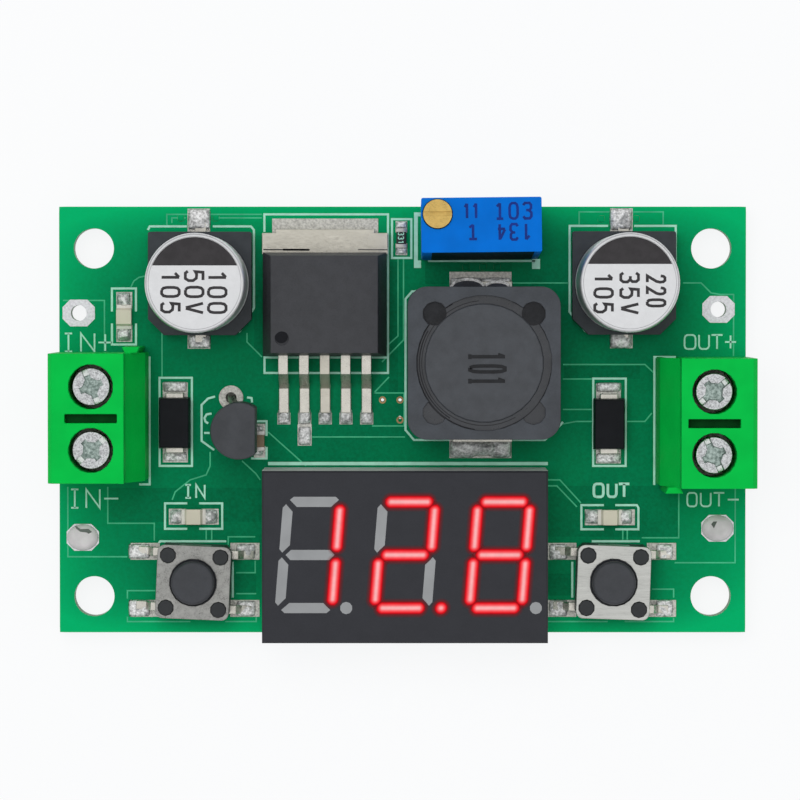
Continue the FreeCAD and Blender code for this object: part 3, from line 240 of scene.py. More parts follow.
def two_tone(name, base, other, test, rough=0.5, specular=0.35, metallic=False):
    """A finish that changes where a test on the place says so."""
    n = Nodes(name)
    share = test(n)
    fine = n.noise(0.12, 4.0)
    broad = n.span(n.noise(1.5, 2.0), 0.96, 1.04)
    scale = n.add("ShaderNodeVectorMath", {0: n.mix(share, base, other), "Scale": broad}, operation="SCALE")
    n.bump(fine, 0.006)
    return n.finish(scale.outputs[0], n.span(fine, rough - 0.08, rough + 0.08),
                    share if metallic else 0.0, specular)


def above(height):
    """A test for places over a height."""
    return lambda n: n.math("GREATER_THAN", n.axes()[2], height * MM)


def beyond(axis, centre, half):
    """A test for places further than half from a centre, along one axis."""
    def test(n):
        offset = n.math("ABSOLUTE", n.math("SUBTRACT", n.axes()[axis], centre * MM))
        return n.math("GREATER_THAN", offset, half * MM)
    return test


SCREW_SLOT_FLOOR = BOARD_TOP + 8.83
SCREW_FACE = BOARD_TOP + 9.2
# The pads beyond this distance from the board's middle are paler
PALE_PADS_X = 24.5


def flecked(name, colour, dark, light, end_tone=None, patches=0.0):
    """Dull tin or solder: flecks, another tone near the board's ends, and dark patches of painted
    reflection.
    """
    n = Nodes(name)
    fine = n.noise(0.2, 5.0)
    flecks = n.span(fine, 0.0, 1.0)
    surface = n.mix(flecks, shaded(colour, dark), shaded(colour, light))
    if end_tone:
        pale = n.mix(flecks, shaded(end_tone, 0.8), shaded(end_tone, 1.1))
        surface = n.mix(beyond(0, 0.0, PALE_PADS_X)(n), surface, pale)
    if patches:
        # Dark patches of painted reflection
        painted_reflection = n.span(n.noise(0.85, 2.0), 0.0, patches, 0.56, 0.63)
        surface = n.mix(painted_reflection, surface, tone(66, 70, 74))
    n.bump(fine, 0.045, 1.0)
    return n.finish(surface, n.span(fine, 0.28, 0.5), 0.45)


def screw_finish():
    """Flecked zinc, with a painted highlight on the slot's floor and painted shade in the deeper cross."""
    n = Nodes("screw_zinc")
    colour = tone(208, 210, 212)
    fine = n.noise(0.13, 5.0)
    surface = n.mix(n.span(fine, 0.0, 1.0), shaded(colour, 0.5), shaded(colour, 1.2))
    # Painted shade: duller, darker zinc in the deeper cross
    deep = n.mix(n.span(n.noise(0.25, 3.0), 0.0, 1.0), tone(112, 128, 122), tone(180, 196, 190))
    # Painted highlight: near-white zinc on the slot's floor
    floor = n.mix(fine, tone(190, 200, 196), tone(250, 252, 250))
    recess = n.mix(above(SCREW_SLOT_FLOOR)(n), deep, floor)
    surface = n.mix(above(SCREW_FACE)(n), recess, surface)
    n.bump(fine, 0.03, 0.8)
    return n.finish(surface, n.span(fine, 0.22, 0.42), 1.0)


silk = plastic("silkscreen_ink", tone(168, 222, 200), 0.6, 0.08, 0.08, 0.01, 0.2)
# Paler green along the copper's raised edges, partly painted highlight
copper_edge_highlight = plastic("copper_edge_mask_highlight", tone(66, 176, 130), 0.4, 0.15, 0.15, 0.01, 0.2)
tin = flecked("tinned_pad", tone(198, 197, 190), 0.6, 1.15, tone(222, 220, 226))
# Solder, with dark patches of painted reflection
solder_metal = flecked("solder", tone(250, 251, 250), 0.4, 1.25, patches=0.5)
pad_grey = plastic("filled_wire_pad", tone(198, 194, 196), 0.4, 0.14, 0.14, 0.03, 0.5)
tin_shade = plastic("solder_streak", tone(96, 104, 98), 0.5, 0.1, 0.3, 0.02, 0.3)
terminal_green = plastic("terminal_green", tone(4, 186, 70), 0.4, 0.2, 0.05, 0.004, 0.06)
cage_metal = metal("terminal_cage", tone(150, 150, 140), 0.45)
screw_metal = screw_finish()
can_metal = metal("can_aluminium", tone(225, 226, 228), 0.42, 0.1, 0.06, 0.004)
base_black = plastic("base_black", tone(52, 56, 60), 0.5, 0.1, 0.1)
ink_black = plastic("black_ink", tone(52, 50, 52), 0.6, 0.06, 0.12)
ferrite = plastic("ferrite_grey", tone(56, 60, 66), 0.5, 0.16, 0.16, 0.02, 0.5)
core_grey = plastic("drum_grey", tone(58, 61, 66), 0.45, 0.1, 0.12, 0.012, 0.5)
glue = plastic("corner_glue", tone(46, 48, 52), 0.35, 0.3, 0.2, 0.03, 0.5)
copper = metal("enamelled_copper", tone(180, 100, 50), 0.35, 0.2)
epoxy = plastic("package_epoxy", tone(50, 51, 55), 0.55, 0.08, 0.08, 0.012, 0.5)
diode_black = plastic("diode_epoxy", tone(22, 23, 27), 0.45, 0.1, 0.1, 0.01, 0.1)
package_grey = plastic("upright_package", tone(60, 62, 66), 0.5, 0.12, 0.12)
tab_metal = metal("tab_tin", tone(208, 204, 192), 0.45, 0.1, 0.12, 0.015, (0.25, 1, 1))
lead_metal = metal("lead_tin", tone(208, 205, 196), 0.34, 0.15, 0.2, 0.015)
steel_speckle = metal("cover_speckled", tone(156, 156, 153), 0.42, 0.08, 0.5, 0.03, strength=0.8)
steel_brushed = metal("cover_brushed", tone(192, 193, 189), 0.36, 0.1, 0.24, 0.015, (0.12, 1.5, 1))
switch_black = plastic("switch_base", tone(44, 46, 48), 0.5, 0.12, 0.1)
button_black = plastic("button_black", tone(50, 52, 57), 0.5, 0.09, 0.1, 0.01, 0.5)
trimmer_blue = plastic("trimmer_blue", tone(1, 106, 204), 0.45, 0.18, 0.06, 0.008, 0.08)
brass = metal("trimmer_brass", tone(208, 176, 104), 0.38, 0.1, 0.3, 0.02, strength=0.6)
print_blue = plastic("trimmer_print", tone(0, 38, 120), 0.5, 0.05, 0.2)
print_grey = plastic("inductor_print", tone(26, 27, 30), 0.5, 0.05, 0.2)
# Dark blue-green for painted shade on the trimmer's south side
trimmer_shade_dark = plastic("recess_shade", tone(3, 40, 48), 0.7, 0.12, 0.2, 0.01, 0.1)
painted_seam_shade = plastic("seam_shade", tone(30, 31, 34), 0.6, 0.1, 0.25, 0.02, 0.3)
mirror_dark = plastic("solder_mirror", tone(34, 38, 50), 0.35, 0.12, 0.3, 0.01, 0.4)
slot_dark = plastic("slot_shade", tone(8, 62, 24), 0.7, 0.15, 0.2, 0.01, 0.1)
ring_brown = metal("via_ring", tone(170, 140, 100), 0.4, 0.08)
inner_dark = plastic("inner_board", tone(30, 34, 32), 0.6)
segment_grey = plastic("segment_unlit", tone(148, 150, 152), 0.4, 0.2, 0.06, 0.004, 0.2)

FACE_Z = 8.8
SHELL_TOP = FACE_Z - 0.22
LED_BASE_TOP = BOARD_TOP + 0.36
display_finish = two_tone("display_shell", tone(214, 218, 214), tone(44, 45, 50), above(SHELL_TOP),
                          0.5, 0.25)
led_finish = two_tone("led_resin", tone(212, 210, 202), tone(206, 200, 182), above(LED_BASE_TOP), 0.35)


def light_material():
    """Light from a lit segment: pale in the core, red at the edge, fading outside."""
    n = Nodes("segment_light")
    reach = n.add("ShaderNodeAttribute", attribute_name="glow").outputs["Fac"]
    ramp = n.add("ShaderNodeValToRGB")
    stops = ((0.0, tone(130, 4, 12)), (0.3, tone(222, 20, 32)), (0.5, tone(248, 56, 64)),
             (0.75, tone(255, 116, 120)), (1.0, tone(255, 184, 185)))
    while len(ramp.color_ramp.elements) < len(stops):
        ramp.color_ramp.elements.new(0.5)
    for element, (position, colour) in zip(ramp.color_ramp.elements, stops):
        element.position = position
        element.color = colour
    n.join(reach, ramp.inputs["Fac"])
    uneven = n.span(n.noise(0.5, 3.0), 0.92, 1.0)
    n.join(ramp.outputs["Color"], n.shader.inputs["Emission Color"])
    n.join(uneven, n.shader.inputs["Emission Strength"])
    n.join(n.math("SMOOTH_MIN", n.math("MULTIPLY", reach, 3.2), 1.0, 0.2), n.shader.inputs["Alpha"])
    return n.finish((0.0, 0.0, 0.0, 1.0), 0.5, 0.0, 0.0)


segment_light = light_material()
segment_guide = plastic("segment_guide", tone(200, 20, 25), 0.4)


# Pieces

def add_object(name, data):
    """A new object in the scene."""
    thing = bpy.data.objects.new(name, data)
    bpy.context.scene.collection.objects.link(thing)
    return thing


def make_piece(name, mesh, material, body="module", smooth=False):
    """An object from a mesh, with its finish, riding on its body."""
    piece = add_object(name, mesh)
    mesh.materials.clear()
    mesh.materials.append(material)
    for polygon in mesh.polygons:
        polygon.use_smooth = smooth
    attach(piece, body)
    return piece


def mesh_of(name, bm):
    """A clean mesh from bmesh data that is in millimetres."""
    bmesh.ops.recalc_face_normals(bm, faces=bm.faces)
    bmesh.ops.scale(bm, vec=(MM, MM, MM), verts=bm.verts)
    mesh = bpy.data.meshes.new(name)
    bm.to_mesh(mesh)
    bm.free()
    return mesh


def new_piece(name, bm, material, smooth=False):
    """A piece of the module from bmesh data in millimetres."""
    return make_piece(name, mesh_of(name, bm), material, "module", smooth)


def dress(material, *names):
    """Gives CAD nodes their finish."""
    for name in names:
        for slot in nodes[name].material_slots:
            slot.material = material


def soften(name, width, material, segments=2, limit=32):
    """A copy of a CAD node with its sharp edges rounded, in the node's place."""
    bm = bmesh.new()
    bm.from_mesh(nodes[name].data)
    bmesh.ops.remove_doubles(bm, verts=bm.verts, dist=0.002 * MM)
    bmesh.ops.dissolve_limit(bm, angle_limit=math.radians(1.0), verts=bm.verts, edges=bm.edges)
    mesh = bpy.data.meshes.new(name + "_finish")
    bm.to_mesh(mesh)
    bm.free()
    for extra in ("custom_normal", "sharp_edge", "sharp_face"):
        if extra in mesh.attributes:
            mesh.attributes.remove(mesh.attributes[extra])
    body = nodes[name]["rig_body"]
    piece = make_piece(name + "_finish", mesh, material, body, True)
    bevel = piece.modifiers.new("edges", "BEVEL")
    bevel.width = width * MM
    bevel.segments = segments
    bevel.limit_method = "ANGLE"
    bevel.angle_limit = math.radians(limit)
    weighted = piece.modifiers.new("normals", "WEIGHTED_NORMAL")
    weighted.keep_sharp = False
    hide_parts(name)
    return piece


STAR_CUT = 0.42
CROSS_REACH = 0.5


def widen_recess(piece):
    """Cuts off the inner corners of a driver's cross, so that it opens into a star."""
    bm = bmesh.new()
    bm.from_mesh(piece.data)
    across = [vertex.co.x for vertex in bm.verts]
    along = [vertex.co.y for vertex in bm.verts]
    middle = Vector(((min(across) + max(across)) / 2, (min(along) + max(along)) / 2))
    corners = []
    for edge in bm.edges:
        low, high = [vertex.co.xy for vertex in edge.verts]
        if (low - high).length < 0.01 * MM and (low - middle).length < CROSS_REACH * MM:
            corners.append(edge)
    bmesh.ops.bevel(bm, geom=corners, offset=STAR_CUT * MM, offset_type="OFFSET", segments=1,
                    profile=0.5, affect="EDGES")
    bm.to_mesh(piece.data)
    bm.free()


# Outlines and solids, all in millimetres

def arc(x, y, reach_x, reach_y, start, end, steps):
    """Points along part of an ellipse, between two angles in degrees."""
    points = []
    for step in range(steps + 1):
        angle = math.radians(start + (end - start) * step / steps)
        points.append((x + reach_x * math.cos(angle), y + reach_y * math.sin(angle)))
    return points


def circle(x, y, radius, steps):
    """Points round a circle."""
    return arc(x, y, radius, radius, 0, 360, steps)[:-1]


def rectangle(left, low, right, high):
    """The corners of a rectangle."""
    return [(left, low), (right, low), (right, high), (left, high)]


def bridge(bm, ring, other):
    """Side faces between two closed rows of corners."""
    for index in range(len(ring)):
        after = (index + 1) % len(ring)
        bm.faces.new((ring[index], ring[after], other[after], other[index]))


def add_prism(bm, foot, head):
    """A closed form between two outlines that have as many corners."""
    low = [bm.verts.new(corner) for corner in foot]
    high = [bm.verts.new(corner) for corner in head]
    bm.faces.new(low[::-1])
    bm.faces.new(high)
    bridge(bm, low, high)


def add_plate(bm, outline, z0, z1):
    """A flat plate with a straight-sided outline."""
    add_prism(bm, [(x, y, z0) for x, y in outline], [(x, y, z1) for x, y in outline])


def add_ribbon(bm, points, width, z0, z1, closed=False):
    """A flat ribbon of even width along a line of points."""
    line = [Vector(point) for point in points]
    count = len(line)
    rows = []
    for index, here in enumerate(line):
        arrive = (here - line[index - 1]).normalized() if index or closed else None
        leave = (line[(index + 1) % count] - here).normalized() if index < count - 1 or closed else arrive
        arrive = arrive or leave
        middle = (arrive + leave).normalized()
        side = Vector((-middle.y, middle.x))
        reach = width / 2 / max(0.35, side.dot(Vector((-arrive.y, arrive.x))))
        left = here + side * reach
        right = here - side * reach
        corners = ((*left, z0), (*right, z0), (*right, z1), (*left, z1))
        rows.append([bm.verts.new(corner) for corner in corners])
    for index in range(count if closed else count - 1):
        bridge(bm, rows[index], rows[(index + 1) % count])
    if not closed:
        bm.faces.new(rows[0][::-1])
        bm.faces.new(rows[-1])


def add_mound(bm, x0, x1, y0, y1, base, height, seed, round_off, cells=12):
    """Solder that has run over a rectangle: crowned, uneven, closed underneath."""
    grid = []
    for row in range(cells + 1):
        v = 2 * row / cells - 1
        line = []
        for column in range(cells + 1):
            u = 2 * column / cells - 1
            pull = 1 - 0.06 * (u * u * v * v)
            x = (x0 + x1) / 2 + u * pull * (x1 - x0) / 2
            y = (y0 + y1) / 2 + v * pull * (y1 - y0) / 2
            crown = max(0.0, (1 - abs(u) ** round_off) * (1 - abs(v) ** round_off)) ** 0.8
            lump = noise.noise(Vector((x * 1.7 + seed, y * 1.7, seed * 3.1)))
            line.append(bm.verts.new((x, y, base + height * crown * (1 + lump / 2))))
        grid.append(line)
    for row in range(cells):
        for column in range(cells):
            bm.faces.new((grid[row][column], grid[row][column + 1],
                          grid[row + 1][column + 1], grid[row + 1][column]))
    rim = grid[0] + [line[-1] for line in grid[1:-1]] + grid[-1][::-1]
    rim += [line[0] for line in grid[-2:0:-1]]
    bm.faces.new(rim[::-1])


def lathe(name, profile, x, y, sides, material, slot):
    """A smooth turned form: radius and height pairs about an upright axis."""
    bm = bmesh.new()
    rings = []
    for radius, z in profile:
        rings.append([bm.verts.new((*place, z)) for place in circle(x, y, radius, sides)])
    for lower, upper in zip(rings, rings[1:]):
        bridge(bm, lower, upper)
    bm.faces.new(rings[0][::-1])
    bm.faces.new(rings[-1])
    piece = new_piece(name, bm, material, True)
    piece.data.set_sharp_from_angle(angle=math.radians(50))
    return piece


# Plain characters as lines of points in a unit box, "l" being a one with a foot
STROKES = {
    "0": (((0.3, 0.0), (0.7, 0.0), (0.92, 0.1), (1.0, 0.3), (1.0, 0.7), (0.92, 0.9), (0.7, 1.0),
           (0.3, 1.0), (0.08, 0.9), (0.0, 0.7), (0.0, 0.3), (0.08, 0.1), (0.3, 0.0)),),
    "1": (((0.12, 0.76), (0.58, 0.99)), ((0.6, 1.0), (0.6, 0.0))),
    "l": (((0.12, 0.8), (0.5, 0.98)), ((0.5, 1.0), (0.5, 0.0)), ((0.1, 0.0), (0.9, 0.0))),
    "2": (((0.0, 0.76), (0.08, 0.92), (0.28, 1.0), (0.72, 1.0), (0.94, 0.9), (1.0, 0.72), (0.88, 0.52),
           (0.0, 0.0), (1.0, 0.0)),),
    "3": (((0.0, 0.86), (0.2, 1.0), (0.76, 1.0), (0.96, 0.88), (0.96, 0.66), (0.76, 0.54), (0.36, 0.54)),
          ((0.72, 0.54), (1.0, 0.38), (1.0, 0.14), (0.78, 0.0), (0.2, 0.0), (0.0, 0.14))),
    "4": (((0.74, 0.0), (0.74, 1.0)), ((0.7, 0.96), (0.02, 0.34)), ((0.0, 0.3), (1.0, 0.3))),
    "5": (((0.94, 1.0), (0.12, 1.0), (0.05, 0.56), (0.3, 0.64), (0.74, 0.62), (1.0, 0.44), (1.0, 0.18),
           (0.78, 0.0), (0.2, 0.0), (0.0, 0.14)),),
    "V": (((0.0, 1.0), (0.47, 0.02)), ((0.53, 0.02), (1.0, 1.0))),
}
LETTER_GAP = 0.3


def printed(name, words, centre, width, height, turn, z, line, material):
    """Printed characters, fitted to a size, turned in degrees, just proud of a face."""
    bm = bmesh.new()
    cell = width / (len(words) + LETTER_GAP * (len(words) - 1))
    angle = math.radians(turn)
    for index, word in enumerate(words):
        left = (line - width) / 2 + index * cell * (1 + LETTER_GAP)
        for layer, stroke in enumerate(STROKES[word]):
            points = []
            for u, v in stroke:
                x = left + u * (cell - line)
                y = (v - 0.5) * (height - line)
                points.append((centre[0] + x * math.cos(angle) - y * math.sin(angle),
                               centre[1] + x * math.sin(angle) + y * math.cos(angle)))
            add_ribbon(bm, points, line, z - 0.01, z + 0.01 + layer * 0.003)
    return new_piece(name, bm, material)


# Rounded copies of the CAD pieces

for side in ("input", "output"):
    soften(side + "_terminal_housing", 0.14, terminal_green, 3, 20)
    dress(cage_metal, side + "_terminal_contacts", side + "_upper_clamp", side + "_lower_clamp")
    for pole in ("upper", "lower"):
        widen_recess(soften(side + "_" + pole + "_screw", 0.06, screw_metal))
    soften(side + "_capacitor_base", 0.08, base_black)
    soften(side + "_capacitor_leads", 0.04, lead_metal)
    soften(side + "_diode_body", 0.1, diode_black)
    soften(side + "_diode_leads", 0.06, lead_metal)

soften("inductor_shield", 0.16, ferrite, 3)
soften("inductor_core", 0.16, core_grey, 3)
dress(copper, "inductor_winding")
dress(glue, "inductor_adhesive")
soften("inductor_terminals", 0.05, lead_metal)
regulator_body = soften("regulator_body", 0.09, epoxy)
soften("regulator_tab", 0.05, tab_metal)
soften("regulator_leads", 0.05, lead_metal)
soften("meter_regulator_body", 0.1, package_grey)
dress(lead_metal, "meter_regulator_leads", "display_pins", "trimmer_pins")
for name in ("power_led", "input_led", "output_led"):
    soften(name, 0.04, led_finish)

for side, cover in (("left", steel_speckle), ("right", steel_brushed)):
    soften(side + "_switch_cover", 0.09, cover)
    soften(side + "_switch_base", 0.06, switch_black)
    soften(side + "_switch_button", 0.12, button_black, 3)
    soften(side + "_switch_terminals", 0.05, lead_metal)
    dress(lead_metal, side + "_switch_dome")

soften("trimmer_housing", 0.1, trimmer_blue)
soften("trimmer_screw", 0.08, brass)
dress(inner_dark, "trimmer_wiper", "display_board")
soften("display_housing", 0.05, display_finish)
dress(segment_grey, "display_segments_dark")
dress(segment_guide, "display_segments_lit")
soften("meter_controller", 0.03, epoxy)
dress(tin, "solder")
dress(mask, "board")


def chip_finish(name, body_tone, rough):
    """A ceramic body between two tinned ends, north and south."""
    low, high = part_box(name)
    centre = (low[1] + high[1]) / 2 / MM
    return two_tone(name + "_finish", body_tone, tone(200, 198, 194), beyond(1, centre, 0.5), rough,
                    0.4, True)


for name, body_tone, rough, edge, slot in (
        ("feedback_resistor", tone(34, 34, 36), 0.4, 0.03, "chip_ceramic"),
        ("feedback_capacitor", tone(126, 108, 86), 0.45, 0.05, "capacitor_ceramic")):
    soften(name, edge, chip_finish(name, body_tone, rough))
dress(epoxy, "meter_resistors")


# Aluminium cans: a groove near the foot, a rolled shoulder, a rim and a marked top

CAN_CENTRES = {"input": (-16.58, 11.42), "output": (18.12, 11.46)}
CAN_RADIUS = 4.0
CAN_FOOT = BOARD_TOP + 0.9
GROOVE_Z = BOARD_TOP + 2.65
GROOVE_DEPTH = 0.3
SHOULDER = 0.26
CAN_TOP = BOARD_TOP + 10.2
CAN_FACE = CAN_TOP - 0.05
SECTOR_RADIUS = 3.66
SECTOR_CHORDS = {"input": 1.40, "output": 1.48}
# Photograph places of each line's middle, and its length
CAN_LINES = {
    "input": (("100", 217.3, 292.3, 43.5), ("50V", 194.3, 292, 44.5), ("105", 170.5, 292, 43)),
    "output": (("220", 656, 291, 33), ("35V", 629.5, 293, 43), ("105", 603.5, 293, 41)),
}
LINE_HEIGHT = 20.5
PRINT_HEIGHT = 10.12
PRINT_SCALE = 0.97 / PIXELS_PER_MM


def make_can(side):
    """The can in place of the CAD one."""
    profile = [(CAN_RADIUS - GROOVE_DEPTH, CAN_FOOT), (CAN_RADIUS, CAN_FOOT + 0.25),
               (CAN_RADIUS, GROOVE_Z - 0.35)]
    profile += arc(CAN_RADIUS, GROOVE_Z, -GROOVE_DEPTH, 0.32, -90, 90, 8)
    profile += arc(CAN_RADIUS - SHOULDER, CAN_TOP - SHOULDER, SHOULDER, SHOULDER, 0, 90, 6)
    profile += [(CAN_RADIUS - 0.29, CAN_TOP - 0.01), (CAN_RADIUS - 0.32, CAN_FACE),
                (CAN_RADIUS - 2.0, CAN_FACE)]
    can = lathe(side + "_can_shell", profile, *CAN_CENTRES[side], 96, can_metal, "can_aluminium")
    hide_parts(side + "_capacitor_can")


def mark_can(side):
    """The dark sector that marks the negative lead."""
    start = math.degrees(math.asin(SECTOR_CHORDS[side] / SECTOR_RADIUS))
    bm = bmesh.new()
    add_plate(bm, arc(*CAN_CENTRES[side], SECTOR_RADIUS, SECTOR_RADIUS, start, 180 - start, 40),
              CAN_FACE - 0.01, CAN_FACE + 0.012)
    new_piece(side + "_can_sector", bm, ink_black)


for side in CAN_CENTRES:
    make_can(side)
for side in CAN_CENTRES:
    mark_can(side)
for side, lines in CAN_LINES.items():
    for index, (words, x, y, length) in enumerate(lines):
        printed(side + "_can_line_" + str(index), words, at(x, y, PRINT_HEIGHT), length * PRINT_SCALE,
                LINE_HEIGHT * PRINT_SCALE, -90, CAN_FACE, 0.23, ink_black)

printed("inductor_value", "l0l", at(487.5, 369, 8), 2.72, 3.1, -90, BOARD_TOP + 7.87, 0.28,
        print_grey)
printed("chip_value", "331", at(401, 238, 0.5), 0.95, 0.5, -90, PAD_TOP + 0.452, 0.07, silk)


# The trimmer stands a little turned and leans to the north

TRIMMER_WIDTH = 9.6
TRIMMER_DEPTH = 4.38
TRIMMER_HEIGHT = 10.0
TRIMMER_WEST = 1.5
TRIMMER_SOUTH = 13.35
TRIMMER_LEAN = math.radians(-3)
TRIMMER_FOOT = Vector((TRIMMER_WEST, TRIMMER_SOUTH + TRIMMER_DEPTH, BOARD_TOP))
TRIMMER_MIDDLE = Vector((TRIMMER_WEST + TRIMMER_WIDTH / 2, TRIMMER_SOUTH + TRIMMER_DEPTH / 2, 0))
TRIMMER_TURN = (Matrix.Translation(TRIMMER_MIDDLE) @ Matrix.Rotation(math.radians(0.6), 4, "Z")
                @ Matrix.Translation(-TRIMMER_MIDDLE))


def set_on_trimmer(piece, place, turn=Matrix()):
    """Moves a piece to a place measured from the trimmer's north-west foot, leaning with it."""
    move = TRIMMER_TURN @ Matrix.Translation(TRIMMER_FOOT) @ Matrix.Rotation(TRIMMER_LEAN, 4, "X")
    move = move @ Matrix.Translation(place) @ turn
    move.translation *= MM
    piece.data.transform(move)


def trimmer_print(name, words, x, y, width, height, turn=0):
    """Plain numbers on the trimmer's top, which leans with the part."""
    piece = printed(name, words, (0, 0), width * PRINT_SCALE, height * PRINT_SCALE, turn, 0, 0.2,
                    print_blue)
    place = TRIMMER_TURN.inverted() @ Vector((*at(x, y, TRIMMER_HEIGHT), 0)) - TRIMMER_FOOT
    lean_y = TRIMMER_HEIGHT * math.tan(-TRIMMER_LEAN)
    set_on_trimmer(piece, (place.x, place.y - lean_y, TRIMMER_HEIGHT + 0.004))


def make_trimmer_shade():
    """A dark plate between the two feet, on the trimmer's south side: painted shade."""
    west = 0.82 - TRIMMER_WIDTH / 2
    east = TRIMMER_WIDTH / 2 - 0.6
    step = east - 0.55
    top = TRIMMER_HEIGHT - 0.16
    bm = bmesh.new()
    add_plate(bm, [(west, 0.35), (step, 0.35), (step, 0.9), (east, 0.9), (east, top), (west, top)],
              -0.01, 0.012)
    piece = new_piece("trimmer_south_shade", bm, trimmer_shade_dark)
    upright = Matrix.Rotation(math.radians(90), 4, "X")
    set_on_trimmer(piece, (TRIMMER_WIDTH / 2, -TRIMMER_DEPTH, 0), upright)


trimmer_print("trimmer_row_one", "l03", 513.5, 211, 38, 18)
trimmer_print("trimmer_row_two", "134", 514, 232, 35, 18, 180)
trimmer_print("trimmer_mark_one", "11", 471, 211, 16, 17)
trimmer_print("trimmer_mark_two", "l", 473, 232, 12, 17)
make_trimmer_shade()


# Painted shade along the seams and in the pockets between the inductor's drum and shield

INDUCTOR_X = 6.55
INDUCTOR_Y = 5.0
SEAM_Z = BOARD_TOP + 7.74
POCKET_OUT = 3.96
POCKET_RADIUS = 0.95
# Each seam's line of painted shade: its radius, its first and last angle, and its width
SEAMS = (
    (5.42, 118, 262, 0.16),
    (5.2, 150, 238, 0.1),
    (5.44, 20, 66, 0.1),
    (5.42, 284, 352, 0.08),
    (5.02, 95, 300, 0.06),
)


def make_inductor_seam_shade():
    """Painted shade: dark lines along the drum's rim, and dark discs in the two deeper pockets to the
    north.
    """
    bm = bmesh.new()
    for radius, start, end, width in SEAMS:
        seam = arc(INDUCTOR_X, INDUCTOR_Y, radius, radius, start, end, 28)
        add_ribbon(bm, seam, width, SEAM_Z, SEAM_Z + 0.02)
    for out in (-POCKET_OUT, POCKET_OUT):
        pocket = circle(INDUCTOR_X + out, INDUCTOR_Y + POCKET_OUT, POCKET_RADIUS, 28)
        add_plate(bm, pocket, SEAM_Z, SEAM_Z + 0.015)
    new_piece("inductor_seam_shade", bm, painted_seam_shade)


# Each terminal's outer face, its middle and the way inwards; its sizes count from the outer face

TERMINALS = ((-28.35, 0.6, 1), (28.35, 0.2, -1))
TERMINAL_HALF = 5.2
TERMINAL_HEIGHT = 10.1
TOP_DEPTH = 6.1
SLOPE_DEPTH = 7.5
SLOPE_TOP = 8.4
SLOPE_LOW = 4.8
SLOT_MIDDLE = 3.45
SLOT_HALF_LONG = 2.08
SLOT_HALF_WIDE = 0.34
SLOT_SHADE_Z = BOARD_TOP + 9.0
REGULATOR_HEIGHT = 4.45
# The groove's top under the flat and under the slope: how far inwards, and how deep in the block
FLAT_SKIN = ((5.72, -0.002), (6.08, -0.002), (6.08, 0.74), (5.48, 0.74))
SLOPED_SKIN = ((6.1, -0.002), (7.24, -0.002), (7.44, 0.74), (6.1, 0.74))


def make_shades():
    """Dark plates as painted shade on the floors of the two terminal slots, and a darker dish in the
    regulator's dimple.
    """
    bm = bmesh.new()
    # Painted shade: a dark plate low in each terminal's slot
    for outer, y, inwards in TERMINALS:
        x = outer + inwards * SLOT_MIDDLE
        add_plate(bm, rectangle(x - SLOT_HALF_LONG, y - SLOT_HALF_WIDE, x + SLOT_HALF_LONG,
                                y + SLOT_HALF_WIDE), SLOT_SHADE_Z, SLOT_SHADE_Z + 0.05)
    new_piece("terminal_slot_shade", bm, slot_dark)
    top = BOARD_TOP + REGULATOR_HEIGHT
    profile = [(0.52, top - 0.09), (0.52, top - 0.005), (0.4, top - 0.02), (0.05, top - 0.03)]
    lathe("regulator_dimple", profile, *at(281.3, 336.8, REGULATOR_HEIGHT), 32, diode_black,
          "package_epoxy")


def shoulder_height(across):
    """The terminal's height at a distance behind its outer face."""
    if across < TOP_DEPTH:
        return TERMINAL_HEIGHT
    return SLOPE_TOP - (across - TOP_DEPTH) * (SLOPE_TOP - SLOPE_LOW) / (SLOPE_DEPTH - TOP_DEPTH)


def make_groove_covers():
    """The skin that closes the top of each terminal's groove, flush with the block."""
    bm = bmesh.new()
    for outer, y, inwards in TERMINALS:
        for outline, thickness in ((FLAT_SKIN, 1.75), (SLOPED_SKIN, 0.4)):
            skin = []
            for across, depth in outline:
                skin.append((outer + inwards * across, y - inwards * (TERMINAL_HALF - depth),
                             BOARD_TOP + shoulder_height(across) + 0.004))
            add_prism(bm, [(*place, z - thickness) for *place, z in skin], skin)
    new_piece("groove_covers", bm, terminal_green)


def make_base_corners():
    """The tips of the capacitor bases' two north corners, which are nearly square."""
    bm = bmesh.new()
    for side in ("input", "output"):
        low, high = [[value / MM for value in end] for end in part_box(side + "_capacitor_base")]
        middle = (low[0] + high[0]) / 2
        north = high[1] - 0.01
        for turn in (-1, 1):
            edge = middle + turn * (high[0] - middle - 0.01)
            add_plate(bm, [(edge, north - 0.56), (edge, north - 0.1), (edge - turn * 0.1, north),
                           (edge - turn * 0.56, north)], BOARD_TOP + 0.03, high[2] - 0.01)
    new_piece("capacitor_base_corners", bm, base_black)


def make_board_corners():
    """The tips of the board's corners, which are cut nearly square."""
    bm = bmesh.new()
    inside = CORNER_RADIUS * 0.99
    for side_x in (-1, 1):
        for side_y in (-1, 1):
            tip = (side_x * (BOARD_HALF_X - 0.012), BOARD_MIDDLE_Y + side_y * (BOARD_HALF_Y - 0.012))
            centre_x = side_x * (BOARD_HALF_X - CORNER_RADIUS)
            centre_y = BOARD_MIDDLE_Y + side_y * (BOARD_HALF_Y - CORNER_RADIUS)
            rounding = arc(centre_x, centre_y, side_x * inside, side_y * inside, 90, 0, 6)
            add_plate(bm, [tip] + rounding, 0.01, BOARD_TOP - 0.003)
    new_piece("board_corner_tips", bm, mask)


make_inductor_seam_shade()
make_shades()
make_groove_covers()
make_board_corners()
make_base_corners()


# Silkscreen and the raised edges of the copper under the mask, as places in the photograph

